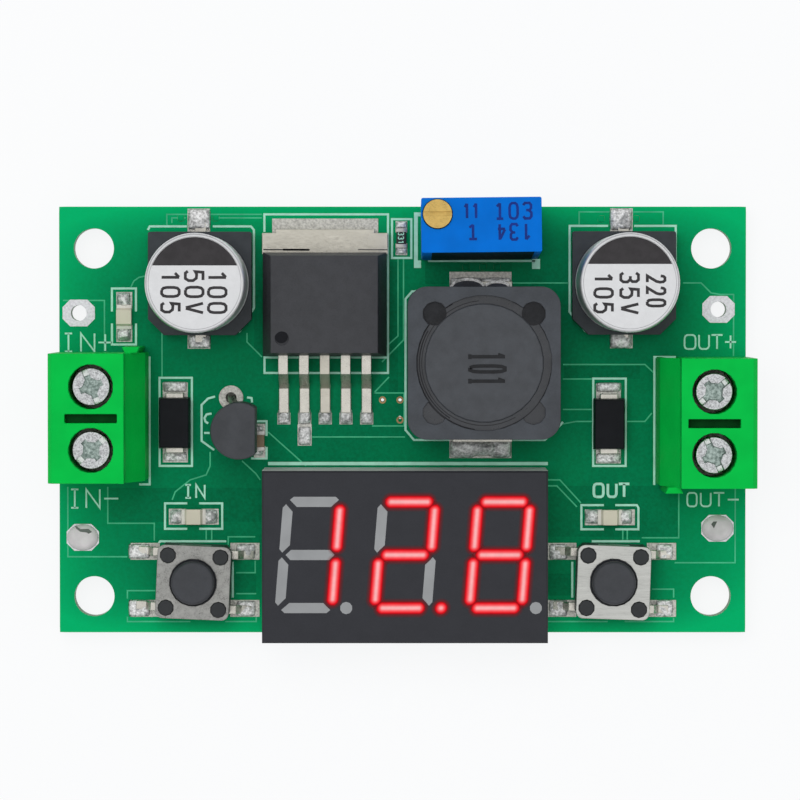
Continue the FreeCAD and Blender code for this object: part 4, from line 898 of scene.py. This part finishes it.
SILK_WIDTH = 2.1 / PIXELS_PER_MM
SILK_LINES = (
    ((148, 230), (150, 226.5), (187, 226.5)),
    ((213, 226.5), (251, 226.5), (254, 230), (254, 308), (239.5, 331.5), (226, 331.5)),
    ((153, 317), (163, 331.5), (177, 331.5)),
    ((608, 226), (569.5, 226), (569.5, 312), (585, 331), (601, 331.8)),
    ((634, 226), (675.5, 226), (675.5, 262)),
    ((666, 320), (658, 331), (646, 332)),
    ((112, 311.5), (112, 288.5), (136, 288.5), (136, 311.5)),
    ((112, 323.5), (112, 344.5), (136, 344.5), (136, 323.5)),
    ((145, 357.5), (149.5, 357.5), (149.5, 484.5), (139, 484.5)),
    ((654.4, 485), (654.4, 357), (676, 357)),
    ((215, 396.5), (208, 398.5), (201.5, 405), (201.5, 441), (214, 450)),
    ((247, 397.5), (251.5, 398), (252, 402.5)),
    ((255, 421.3), (266.5, 421.3), (266.5, 436)),
    ((266.5, 447), (266.5, 458.5), (251, 458.5)),
    ((264.5, 232), (264.5, 214.5), (388, 214.5), (388, 373), (264.5, 373), (264.5, 357.5), (387, 357.5)),
    ((426, 290.5), (412, 291.5), (405.5, 299), (405.5, 430), (414, 440), (545, 440), (560.5, 425),
     (563, 422)),
    ((187, 503.5), (164.8, 503.5), (164.8, 529), (187, 529)),
    ((199, 503.5), (222, 503.5), (222, 529), (199, 529)),
    ((604, 505.3), (581.6, 505.3), (581.6, 529.5), (604, 529.5)),
    ((615.5, 505.3), (637, 505.3), (638.6, 508), (638.6, 529.5), (615.5, 529.5)),
    ((158, 544), (160, 541.5), (226, 541.5)),
    ((572.5, 562), (572.5, 598)),
    ((592, 541.5), (640, 541.5)),
    ((428, 261), (535, 261)),
    ((211.5, 413.5), (206.5, 414.5), (204.3, 418), (205.3, 421.5), (208, 423.5)),
    ((204, 433), (209.5, 433)),
    ((232.5, 562), (232.5, 598)),
)
SILK_BOXES = (
    (159.5, 377.8, 191.8, 466),
    (593.3, 378.6, 625.8, 466),
    (392, 219.3, 411.3, 258),
)
SILK_BARS = (
    (414, 212.5, 417.8, 268),
    (417.8, 260.5, 421, 268),
    (417.8, 212.5, 421.5, 216.5),
    (532, 259, 540, 269),
    (268, 462, 548, 465.3),
)
EDGE_LINES = (
    ((63, 300.5), (104.5, 300.5), (104.5, 351)),
    ((131, 287), (134, 281), (139, 277.5), (145, 276)),
    ((67.5, 487), (67.5, 557), (127, 557)),
    ((107.5, 487), (107.5, 523.5), (154, 523.5), (154, 541)),
    ((127, 599), (127, 591), (155, 591)),
    ((127, 617), (127, 622), (190, 622)),
    ((228, 545), (228, 537), (255, 537)),
    ((255, 561), (255, 573), (236, 573)),
    ((236, 594), (256, 594)),
    ((256, 617), (256, 622), (225, 622)),
    ((206, 530), (206, 540)),
    ((211.5, 530), (211.5, 540)),
    ((167, 226), (167, 214.5), (262, 214.5)),
    ((172, 223), (172, 218), (186, 218)),
    ((214, 218), (262, 218)),
    ((162, 333), (162, 377)),
    ((247, 333), (247, 342), (262, 357)),
    ((172, 500), (175, 492), (190, 480), (206, 475), (210, 466), (210, 452)),
    ((242, 461), (256, 474), (260, 480)),
    ((579, 225), (579, 212), (663, 212), (663, 225)),
    ((512, 283), (568, 283)),
    ((683, 283), (701, 283), (711, 293), (720, 294.5), (733.5, 294.5), (733.5, 356)),
    ((563, 364.5), (645, 364.5), (655, 374)),
    ((563, 379), (592, 379)),
    ((563, 409.5), (592, 409.5)),
    ((563, 424), (576, 421.5), (592, 421.5)),
    ((627, 421.5), (645, 421.5), (652, 413)),
    ((735.5, 489), (735.5, 563), (675, 563)),
    ((679, 489), (679, 538), (642, 538)),
    ((548, 480), (560, 480), (581, 503)),
    ((548, 486), (557, 486), (577, 507)),
    ((623, 530), (623, 540)),
    ((627.5, 530), (627.5, 540)),
    ((652, 589.5), (674, 589.5), (674, 598)),
    ((625, 622), (674, 622), (674, 618)),
    ((548, 622), (608, 622)),
    ((398, 258), (398, 336), (380, 352)),
    ((403.5, 258), (403.5, 340), (382, 362)),
    ((372, 393), (404, 393), (404, 426), (372, 426)),
    ((268, 432), (306, 466)),
    ((312, 437), (405, 437)),
    ((389, 377), (371, 396)),
)
SILK_LETTERS = {
    "I": (((0.1, 0.0), (0.9, 0.0)), ((0.5, 0.0), (0.5, 1.0)), ((0.1, 1.0), (0.9, 1.0))),
    "N": (((0.0, 0.0), (0.0, 1.0), (1.0, 0.0), (1.0, 1.0)),),
    "O": (((0.25, 0.0), (0.75, 0.0), (0.93, 0.08), (1.0, 0.25), (1.0, 0.75), (0.93, 0.92), (0.75, 1.0),
           (0.25, 1.0), (0.07, 0.92), (0.0, 0.75), (0.0, 0.25), (0.07, 0.08), (0.25, 0.0)),),
    "U": (((0.0, 1.0), (0.0, 0.22), (0.1, 0.07), (0.28, 0.0), (0.72, 0.0), (0.9, 0.07), (1.0, 0.22),
           (1.0, 1.0)),),
    "T": (((0.0, 1.0), (1.0, 1.0)), ((0.5, 1.0), (0.5, 0.0))),
    "+": (((0.0, 0.5), (1.0, 0.5)), ((0.5, 0.04), (0.5, 0.96))),
    "-": (((0.0, 0.5), (1.0, 0.5)),),
}
SILK_WORDS = (
    (1.7, 333.5, 351.5, (("I", 64, 73), ("N", 81, 94.5), ("+", 98.5, 112))),
    (1.7, 489.5, 508, (("I", 70, 79), ("N", 86, 99.5), ("-", 104, 118))),
    (1.7, 335, 349, (("O", 684.5, 695.5), ("U", 699, 709), ("T", 711.5, 722.5), ("+", 725, 736))),
    (1.7, 493, 506.5, (("O", 687.5, 697), ("U", 701, 711), ("T", 714, 724.5), ("-", 728, 739))),
    (1.9, 485, 498, (("I", 184.5, 191.5), ("N", 196, 204.5))),
    (2.6, 484, 497, (("O", 594, 603.5), ("U", 608, 616.5), ("T", 619, 629.5))),
)


def make_silkscreen():
    """Every silkscreen line, box, bar and letter as one printed layer."""
    high = BOARD_TOP + 0.022
    bm = bmesh.new()
    for line in SILK_LINES:
        add_ribbon(bm, [at(*point) for point in line], SILK_WIDTH, LAYER_LOW, high)
    for box in SILK_BOXES:
        add_ribbon(bm, [at(*corner) for corner in rectangle(*box)], SILK_WIDTH, LAYER_LOW, high, True)
    for left, top, right, bottom in SILK_BARS:
        add_plate(bm, rectangle(*at(left, bottom), *at(right, top)), LAYER_LOW, high)
    for width, top, bottom, letters in SILK_WORDS:
        for letter, left, right in letters:
            for stroke in SILK_LETTERS[letter]:
                points = []
                for u, v in stroke:
                    points.append(at(left + (right - left) * u, bottom + (top - bottom) * v))
                add_ribbon(bm, points, width / PIXELS_PER_MM, LAYER_LOW, high)
    new_piece("silkscreen", bm, silk)


def make_copper_edges():
    """The raised edges of the copper, seen through the mask, in a paler green that is partly painted
    highlight.
    """
    bm = bmesh.new()
    for line in EDGE_LINES:
        add_ribbon(bm, [at(*point) for point in line], 0.11, LAYER_LOW, BOARD_TOP + 0.014)
    new_piece("copper_edges", bm, copper_edge_highlight)


make_silkscreen()
make_copper_edges()


# Solder on the pads and round the leads, as places in the photograph

FOOT_PITCH = 20.7
SEED_STEP = 1.37
# Height and roundness, and then each mound's left, top, right and bottom
SOLDER_MOUNDS = (
    (0.28, 7.0, ((188.3, 209.2, 211, 230),)),
    (0.26, 5.0, ((188, 334.5, 211, 348.4),)),
    (0.28, 7.0, ((609.3, 208.4, 632, 230.5),)),
    (0.26, 5.0, ((609.5, 331.5, 632, 348.4),)),
    (0.42, 3.0, ((117, 292.5, 130.5, 308), (117, 328, 131, 341), (169.5, 509.5, 184, 524),
                 (203, 509.5, 217.5, 524), (585, 509.5, 600, 524), (619, 509.5, 632.5, 524))),
    (0.3, 2.2, ((449.5, 277.5, 482, 291), (480, 277.5, 511.5, 291))),
    (0.4, 2.6, ((449.5, 440, 476, 458),)),
    (0.45, 2.4, ((468, 441, 498, 456),)),
    (0.4, 2.6, ((490, 440, 511.5, 458),)),
    (0.2, 4.0, ((163, 381.5, 187, 392), (163, 452, 187, 461), (596, 382.5, 621, 392),
                (596, 453, 621, 463))),
    (0.3, 3.0, [(277.6 + FOOT_PITCH * foot, 409, 290.2 + FOOT_PITCH * foot, 424.2) for foot in range(5)]),
    (0.22, 4.0, ((298.2, 426.5, 311, 445.4),)),
    (0.25, 4.0, ((395.5, 221.5, 407, 228.5), (395.5, 247, 407, 254.5))),
    (0.4, 4.0, ((251.5, 425.5, 263, 433.5), (251.5, 447.5, 263, 455.5))),
    (0.22, 5.0, ((128, 544, 150, 559), (128, 600, 150, 617), (236, 544, 255.5, 559),
                 (236, 601, 255.5, 617), (549, 544, 568, 560), (549, 600, 568, 617),
                 (656, 544, 673.5, 560), (656, 600, 673.5, 617))),
)
# The inductor's two arches of solder: left, right, top; and how high they stand over the pads
ARCHES = ((451, 484.5, 279.4), (484.5, 510, 281.8))
ARCH_FOOT = 288
ARCH_HEIGHT = 0.62


def make_solder():
    """All the solder mounds, one piece."""
    bm = bmesh.new()
    done = 0
    for height, roundness, mounds in SOLDER_MOUNDS:
        for left, top, right, bottom in mounds:
            x0, y1 = at(left, top)
            x1, y0 = at(right, bottom)
            add_mound(bm, x0, x1, y0, y1, SOLDER_LOW, height, done * SEED_STEP, roundness)
            done += 1
    new_piece("solder_mounds", bm, solder_metal, True)


def make_solder_arches():
    """The inductor's north solder: two bright arches, each filled with a dark plate as painted reflection
    of its side.
    """
    bright = bmesh.new()
    dark = bmesh.new()
    for left, right, top in ARCHES:
        middle = (left + right) / 2
        arch = arc(middle, ARCH_FOOT, left - middle, top - ARCH_FOOT, 0, 180, 16)
        arch = [at(*point, 0.6) for point in arch]
        add_ribbon(bright, arch, 0.22, SOLDER_LOW, PAD_TOP + ARCH_HEIGHT)
        # Painted reflection: a dark plate inside each arch
        add_plate(dark, arch[::-1], SOLDER_LOW, PAD_TOP + ARCH_HEIGHT - 0.07)
    new_piece("solder_arches", bright, solder_metal)
    new_piece("solder_mirrors", dark, mirror_dark)


# The upright package's first pad is a round ring; its third pad lies under the mask
FIRST_PAD = at(231, 397.7)
THIRD_PAD = at(231, 449.3)


def make_package_pads():
    """The ring on the first pad, and mask over the third, which would peep out."""
    ring = bmesh.new()
    add_ribbon(ring, circle(*FIRST_PAD, 0.73, 48), 0.54, SOLDER_LOW, PAD_TOP + 0.02, True)
    new_piece("package_pad_ring", ring, tin)
    cover = bmesh.new()
    add_plate(cover, circle(*THIRD_PAD, 1.03, 48), LAYER_LOW, PAD_TOP + 0.006)
    new_piece("package_pad_cover", cover, mask)


PAD_STRETCH = 1.19
# Radius, height over the pad, and how much of the dish is taken off there
FILL_PROFILE = ((1.09, -0.01, 0), (1.08, 0.05, 0), (0.98, 0.16, 0), (0.8, 0.3, 0), (0.66, 0.35, 0),
                (0.5, 0.362, 0.1), (0.3, 0.366, 0.12), (0.03, 0.366, 0.14))
STREAK_TOP = PAD_TOP + 0.37
STREAKS = (
    ((74.5, 526), (77, 527.2), (80, 529.3), (88, 529), (91.6, 532), (88.5, 534), (86.5, 532.8),
     (80, 532), (76, 529)),
    ((711.5, 524.5), (713.5, 521.8), (717.5, 521.6), (716, 524.6), (714.2, 528.6)),
)


def make_wire_pads():
    """The two wire pads whose holes are filled: a low dome, and one with a dish."""
    for name, x, y, dish in (("input", -26.3, -9.45, 0.0), ("output", 25.9, -8.7, 0.1)):
        profile = [(radius, PAD_TOP + height - dish * share) for radius, height, share in FILL_PROFILE]
        fill = lathe(name + "_wire_pad_fill", profile, x, y, 48, pad_grey, "solder")
        move = Matrix.Translation((x * MM, 0, 0)) @ Matrix.Scale(PAD_STRETCH, 4, (1, 0, 0))
        fill.data.transform(move @ Matrix.Translation((-x * MM, 0, 0)))
    bm = bmesh.new()
    for outline in STREAKS:
        add_plate(bm, [at(*point, 0.4) for point in outline][::-1], STREAK_TOP - 0.3, STREAK_TOP)
    new_piece("wire_pad_streaks", bm, tin_shade)


REGULATOR_X = -6.35
REGULATOR_Y = 9.9
LEAD_PITCH = 1.7
HALF_FOOT = 0.4
HALF_PAD = 0.535
FEET_SOUTH = 0.8
FEET_NORTH = 3.24
TAB_TOP = BOARD_TOP + 0.05 + 1.27
BODY_END = REGULATOR_Y + 4.4
BODY_SET_BACK = 0.36


def make_pad_covers():
    """Mask that laps over the regulator's pads beside each foot."""
    bm = bmesh.new()
    for place in range(-2, 3):
        foot = REGULATOR_X + place * LEAD_PITCH
        for side in (-1, 1):
            left, right = sorted((foot + side * (HALF_FOOT + 0.015), foot + side * (HALF_PAD + 0.04)))
            add_plate(bm, rectangle(left, FEET_SOUTH, right, FEET_NORTH), LAYER_LOW, PAD_TOP + 0.006)
    new_piece("pad_covers", bm, mask)


def make_tab_edge(body):
    """The body's north face a little further back, the tab's wide part up to it, and painted shade along
    its seam.
    """
    for vertex in body.data.vertices:
        if vertex.co.y > (REGULATOR_Y + 2) * MM:
            vertex.co.y -= BODY_SET_BACK * MM
    bm = bmesh.new()
    for x0, x1 in ((-5.13, -3.95), (3.95, 5.13)):
        add_plate(bm, rectangle(REGULATOR_X + x0, BODY_END - BODY_SET_BACK - 0.12, REGULATOR_X + x1,
                                BODY_END + 0.05), PAD_TOP + 0.02, TAB_TOP - 0.006)
    new_piece("tab_edge", bm, tab_metal)
    # Painted shade: dark lines in the gap between the tab and the body
    bm = bmesh.new()
    for x0, x1, width in ((263.5, 310, 0.09), (358, 387.5, 0.07), (283, 309, 0.16)):
        add_ribbon(bm, [at(x0, 249.7, 1.3), at(x1, 249.9, 1.3)], width, TAB_TOP - 0.01, TAB_TOP + 0.012)
    new_piece("tab_seam_shade", bm, painted_seam_shade)


# Vias, as places in the photograph
OPEN_VIAS = ((382.5, 400), (400, 400), (400, 420))
COVERED_VIAS = ((181, 218), (216, 218), (601, 219), (636, 219), (466, 267), (483, 267), (497, 267))
BUMP = 0.3


def make_vias():
    """Bare rings at the three open vias, and low domes where the mask covers them."""
    bm = bmesh.new()
    for via in OPEN_VIAS:
        add_ribbon(bm, circle(*at(*via), 0.23, 24), 0.13, LAYER_LOW, BOARD_TOP + 0.03, True)
    new_piece("via_rings", bm, ring_brown)
    bm = bmesh.new()
    for seed, via in enumerate(COVERED_VIAS):
        x, y = at(*via)
        add_mound(bm, x - BUMP, x + BUMP, y - BUMP, y + BUMP, BOARD_TOP - 0.005, 0.05, seed, 2.0, 8)
    new_piece("covered_vias", bm, mask, True)


make_solder()
make_solder_arches()
make_package_pads()
make_wire_pads()
make_pad_covers()
make_tab_edge(regulator_body)
make_vias()


# Lit segments: the light in each guide and its spread over the dark face

DISPLAY_X = 0.19
DIGIT_Y = -10.46
DIGIT_PITCH = 7.64
SLANT = math.tan(math.radians(4.6))
ROW = 4.28
COLUMN = 2.1
BAR = 3.95
POST = 3.9
HALF_WIDTH = 0.41
POINT_X = 3.25
DIGITS = ("bc", "abged", "abcdefg")
# Each segment's middle, its length and whether it stands upright
SEGMENTS = {
    "a": (0, ROW, BAR, False), "d": (0, -ROW, BAR, False), "g": (0, 0, BAR, False),
    "b": (COLUMN, ROW / 2, POST, True), "c": (COLUMN, -ROW / 2, POST, True),
    "e": (-COLUMN, -ROW / 2, POST, True), "f": (-COLUMN, ROW / 2, POST, True),
}
# How bright each ring of the light is, and how far out it lies in half widths
GLOW_RINGS = ((1.0, 0.04), (0.9, 0.27), (0.7, 0.5), (0.5, 0.76), (0.3, 1.0), (0.11, 1.28), (0.0, 2.0))


def glow_rings(bm, layer, digit_x, x, y, half_length, upright):
    """Rings round a segment's middle line: brightest inside, none outside."""
    core = half_length - HALF_WIDTH
    rings = []
    for glow, spread in GLOW_RINGS:
        ring = []
        reach = HALF_WIDTH * spread
        for u, v in arc(0, 0, reach, reach, 9, 351, 19):
            u += core if u > 0 else -core
            if upright:
                u, v = -v, u
            vertex = bm.verts.new((digit_x + x + u + (y + v) * SLANT, DIGIT_Y + y + v,
                                   FACE_Z + 0.012 + 0.002 * glow))
            vertex[layer] = glow
            ring.append(vertex)
        rings.append(ring)
    bm.faces.new(rings[0])
    for inner, outer in zip(rings, rings[1:]):
        bridge(bm, inner, outer)


def make_light():
    """The light of every lit segment and of the lit point."""
    bm = bmesh.new()
    layer = bm.verts.layers.float.new("glow")
    for place, letters in zip((-1, 0, 1), DIGITS):
        for letter in letters:
            x, y, length, upright = SEGMENTS[letter]
            glow_rings(bm, layer, DISPLAY_X + place * DIGIT_PITCH, x, y, length / 2 - 0.1, upright)
    glow_rings(bm, layer, DISPLAY_X, POINT_X, -ROW, HALF_WIDTH + 0.02, False)
    new_piece("segment_light", bm, segment_light, True)


make_light()


# Floor, light and camera

FLOOR_HALF = 600.0
FLOOR_WHITE = (0.86, 0.86, 0.86, 1.0)
FLOOR_GLOW = (0.985, 0.992, 1.0, 1.0)
GLOW_SHARE = 0.88
LAMP_PLACE = Vector((-60, 90, 450))
LAMP_SIZE = 260
LAMP_POWER = 1.05
CAMERA_PLACE = Vector((-0.21, 10.07, BOARD_TOP + CAMERA_DISTANCE))
CAMERA_TARGET = Vector((-0.21, 1.85, BOARD_TOP))
LENS = 186.2


def make_floor():
    """A plain pale floor that keeps the soft shadow."""
    bm = bmesh.new()
    corners = rectangle(-FLOOR_HALF, -FLOOR_HALF, FLOOR_HALF, FLOOR_HALF)
    bm.faces.new([bm.verts.new((*corner, FLOOR_Z)) for corner in corners])
    mesh = mesh_of("floor", bm)
    floor = add_object("floor", mesh)
    n = Nodes("floor_white")
    mesh.materials.append(n.finish(FLOOR_WHITE, 0.9, 0.0, 0.0))
    glow = n.add("ShaderNodeEmission", {"Color": FLOOR_GLOW})
    rays = n.add("ShaderNodeLightPath").outputs
    seen = n.math("MAXIMUM", rays["Is Glossy Ray"], rays["Is Transmission Ray"])
    seen = n.math("MAXIMUM", rays["Is Camera Ray"], seen)
    share = n.math("MULTIPLY", seen, GLOW_SHARE)
    blend = n.add("ShaderNodeMixShader", {0: share, 1: n.shader.outputs[0], 2: glow.outputs[0]})
    n.join(blend.outputs[0], n.tree.nodes["Material Output"].inputs["Surface"])


def make_world():
    """White to the camera; in metal, bright overhead and duller near the horizon."""
    n = Nodes("studio", "worlds")
    bpy.context.scene.world = n.owner
    rays = n.add("ShaderNodeLightPath").outputs
    sky = n.span(n.axes("Generated")[2], 0.25, 1.0, 0.2, 0.95)
    sky.node.interpolation_type = "SMOOTHSTEP"
    strength = n.mix(rays["Is Glossy Ray"], 0.55, sky, "FLOAT")
    seen = n.math("MAXIMUM", rays["Is Camera Ray"], rays["Is Transmission Ray"])
    background = n.tree.nodes["Background"]
    background.inputs["Color"].default_value = (1, 1, 1, 1)
    n.join(n.mix(seen, strength, 1.0, "FLOAT"), background.inputs["Strength"])


def make_lamp():
    """A soft square lamp, left out of mirror reflections."""
    data = bpy.data.lights.new("overhead", "AREA")
    data.size = LAMP_SIZE * MM
    data.energy = LAMP_POWER
    lamp = add_object("overhead", data)
    lamp.location = LAMP_PLACE * MM
    lamp.rotation_euler = (-LAMP_PLACE).to_track_quat("-Z", "Y").to_euler()
    lamp.visible_glossy = False


def make_camera():
    """The photograph's camera: nearly straight above, a little north of centre."""
    data = bpy.data.cameras.new("camera")
    data.lens = LENS
    data.sensor_width = 36.0
    data.clip_start = 0.01
    data.clip_end = 20.0
    camera = add_object("camera", data)
    away = (CAMERA_PLACE - CAMERA_TARGET).normalized()
    right = Vector((1, 0, 0))
    camera.location = CAMERA_PLACE * MM
    camera.rotation_euler = Matrix((right, away.cross(right), away)).transposed().to_euler()
    bpy.context.scene.camera = camera


make_floor()
make_world()
make_lamp()
make_camera()
bpy.context.scene.view_settings.view_transform = "Standard"
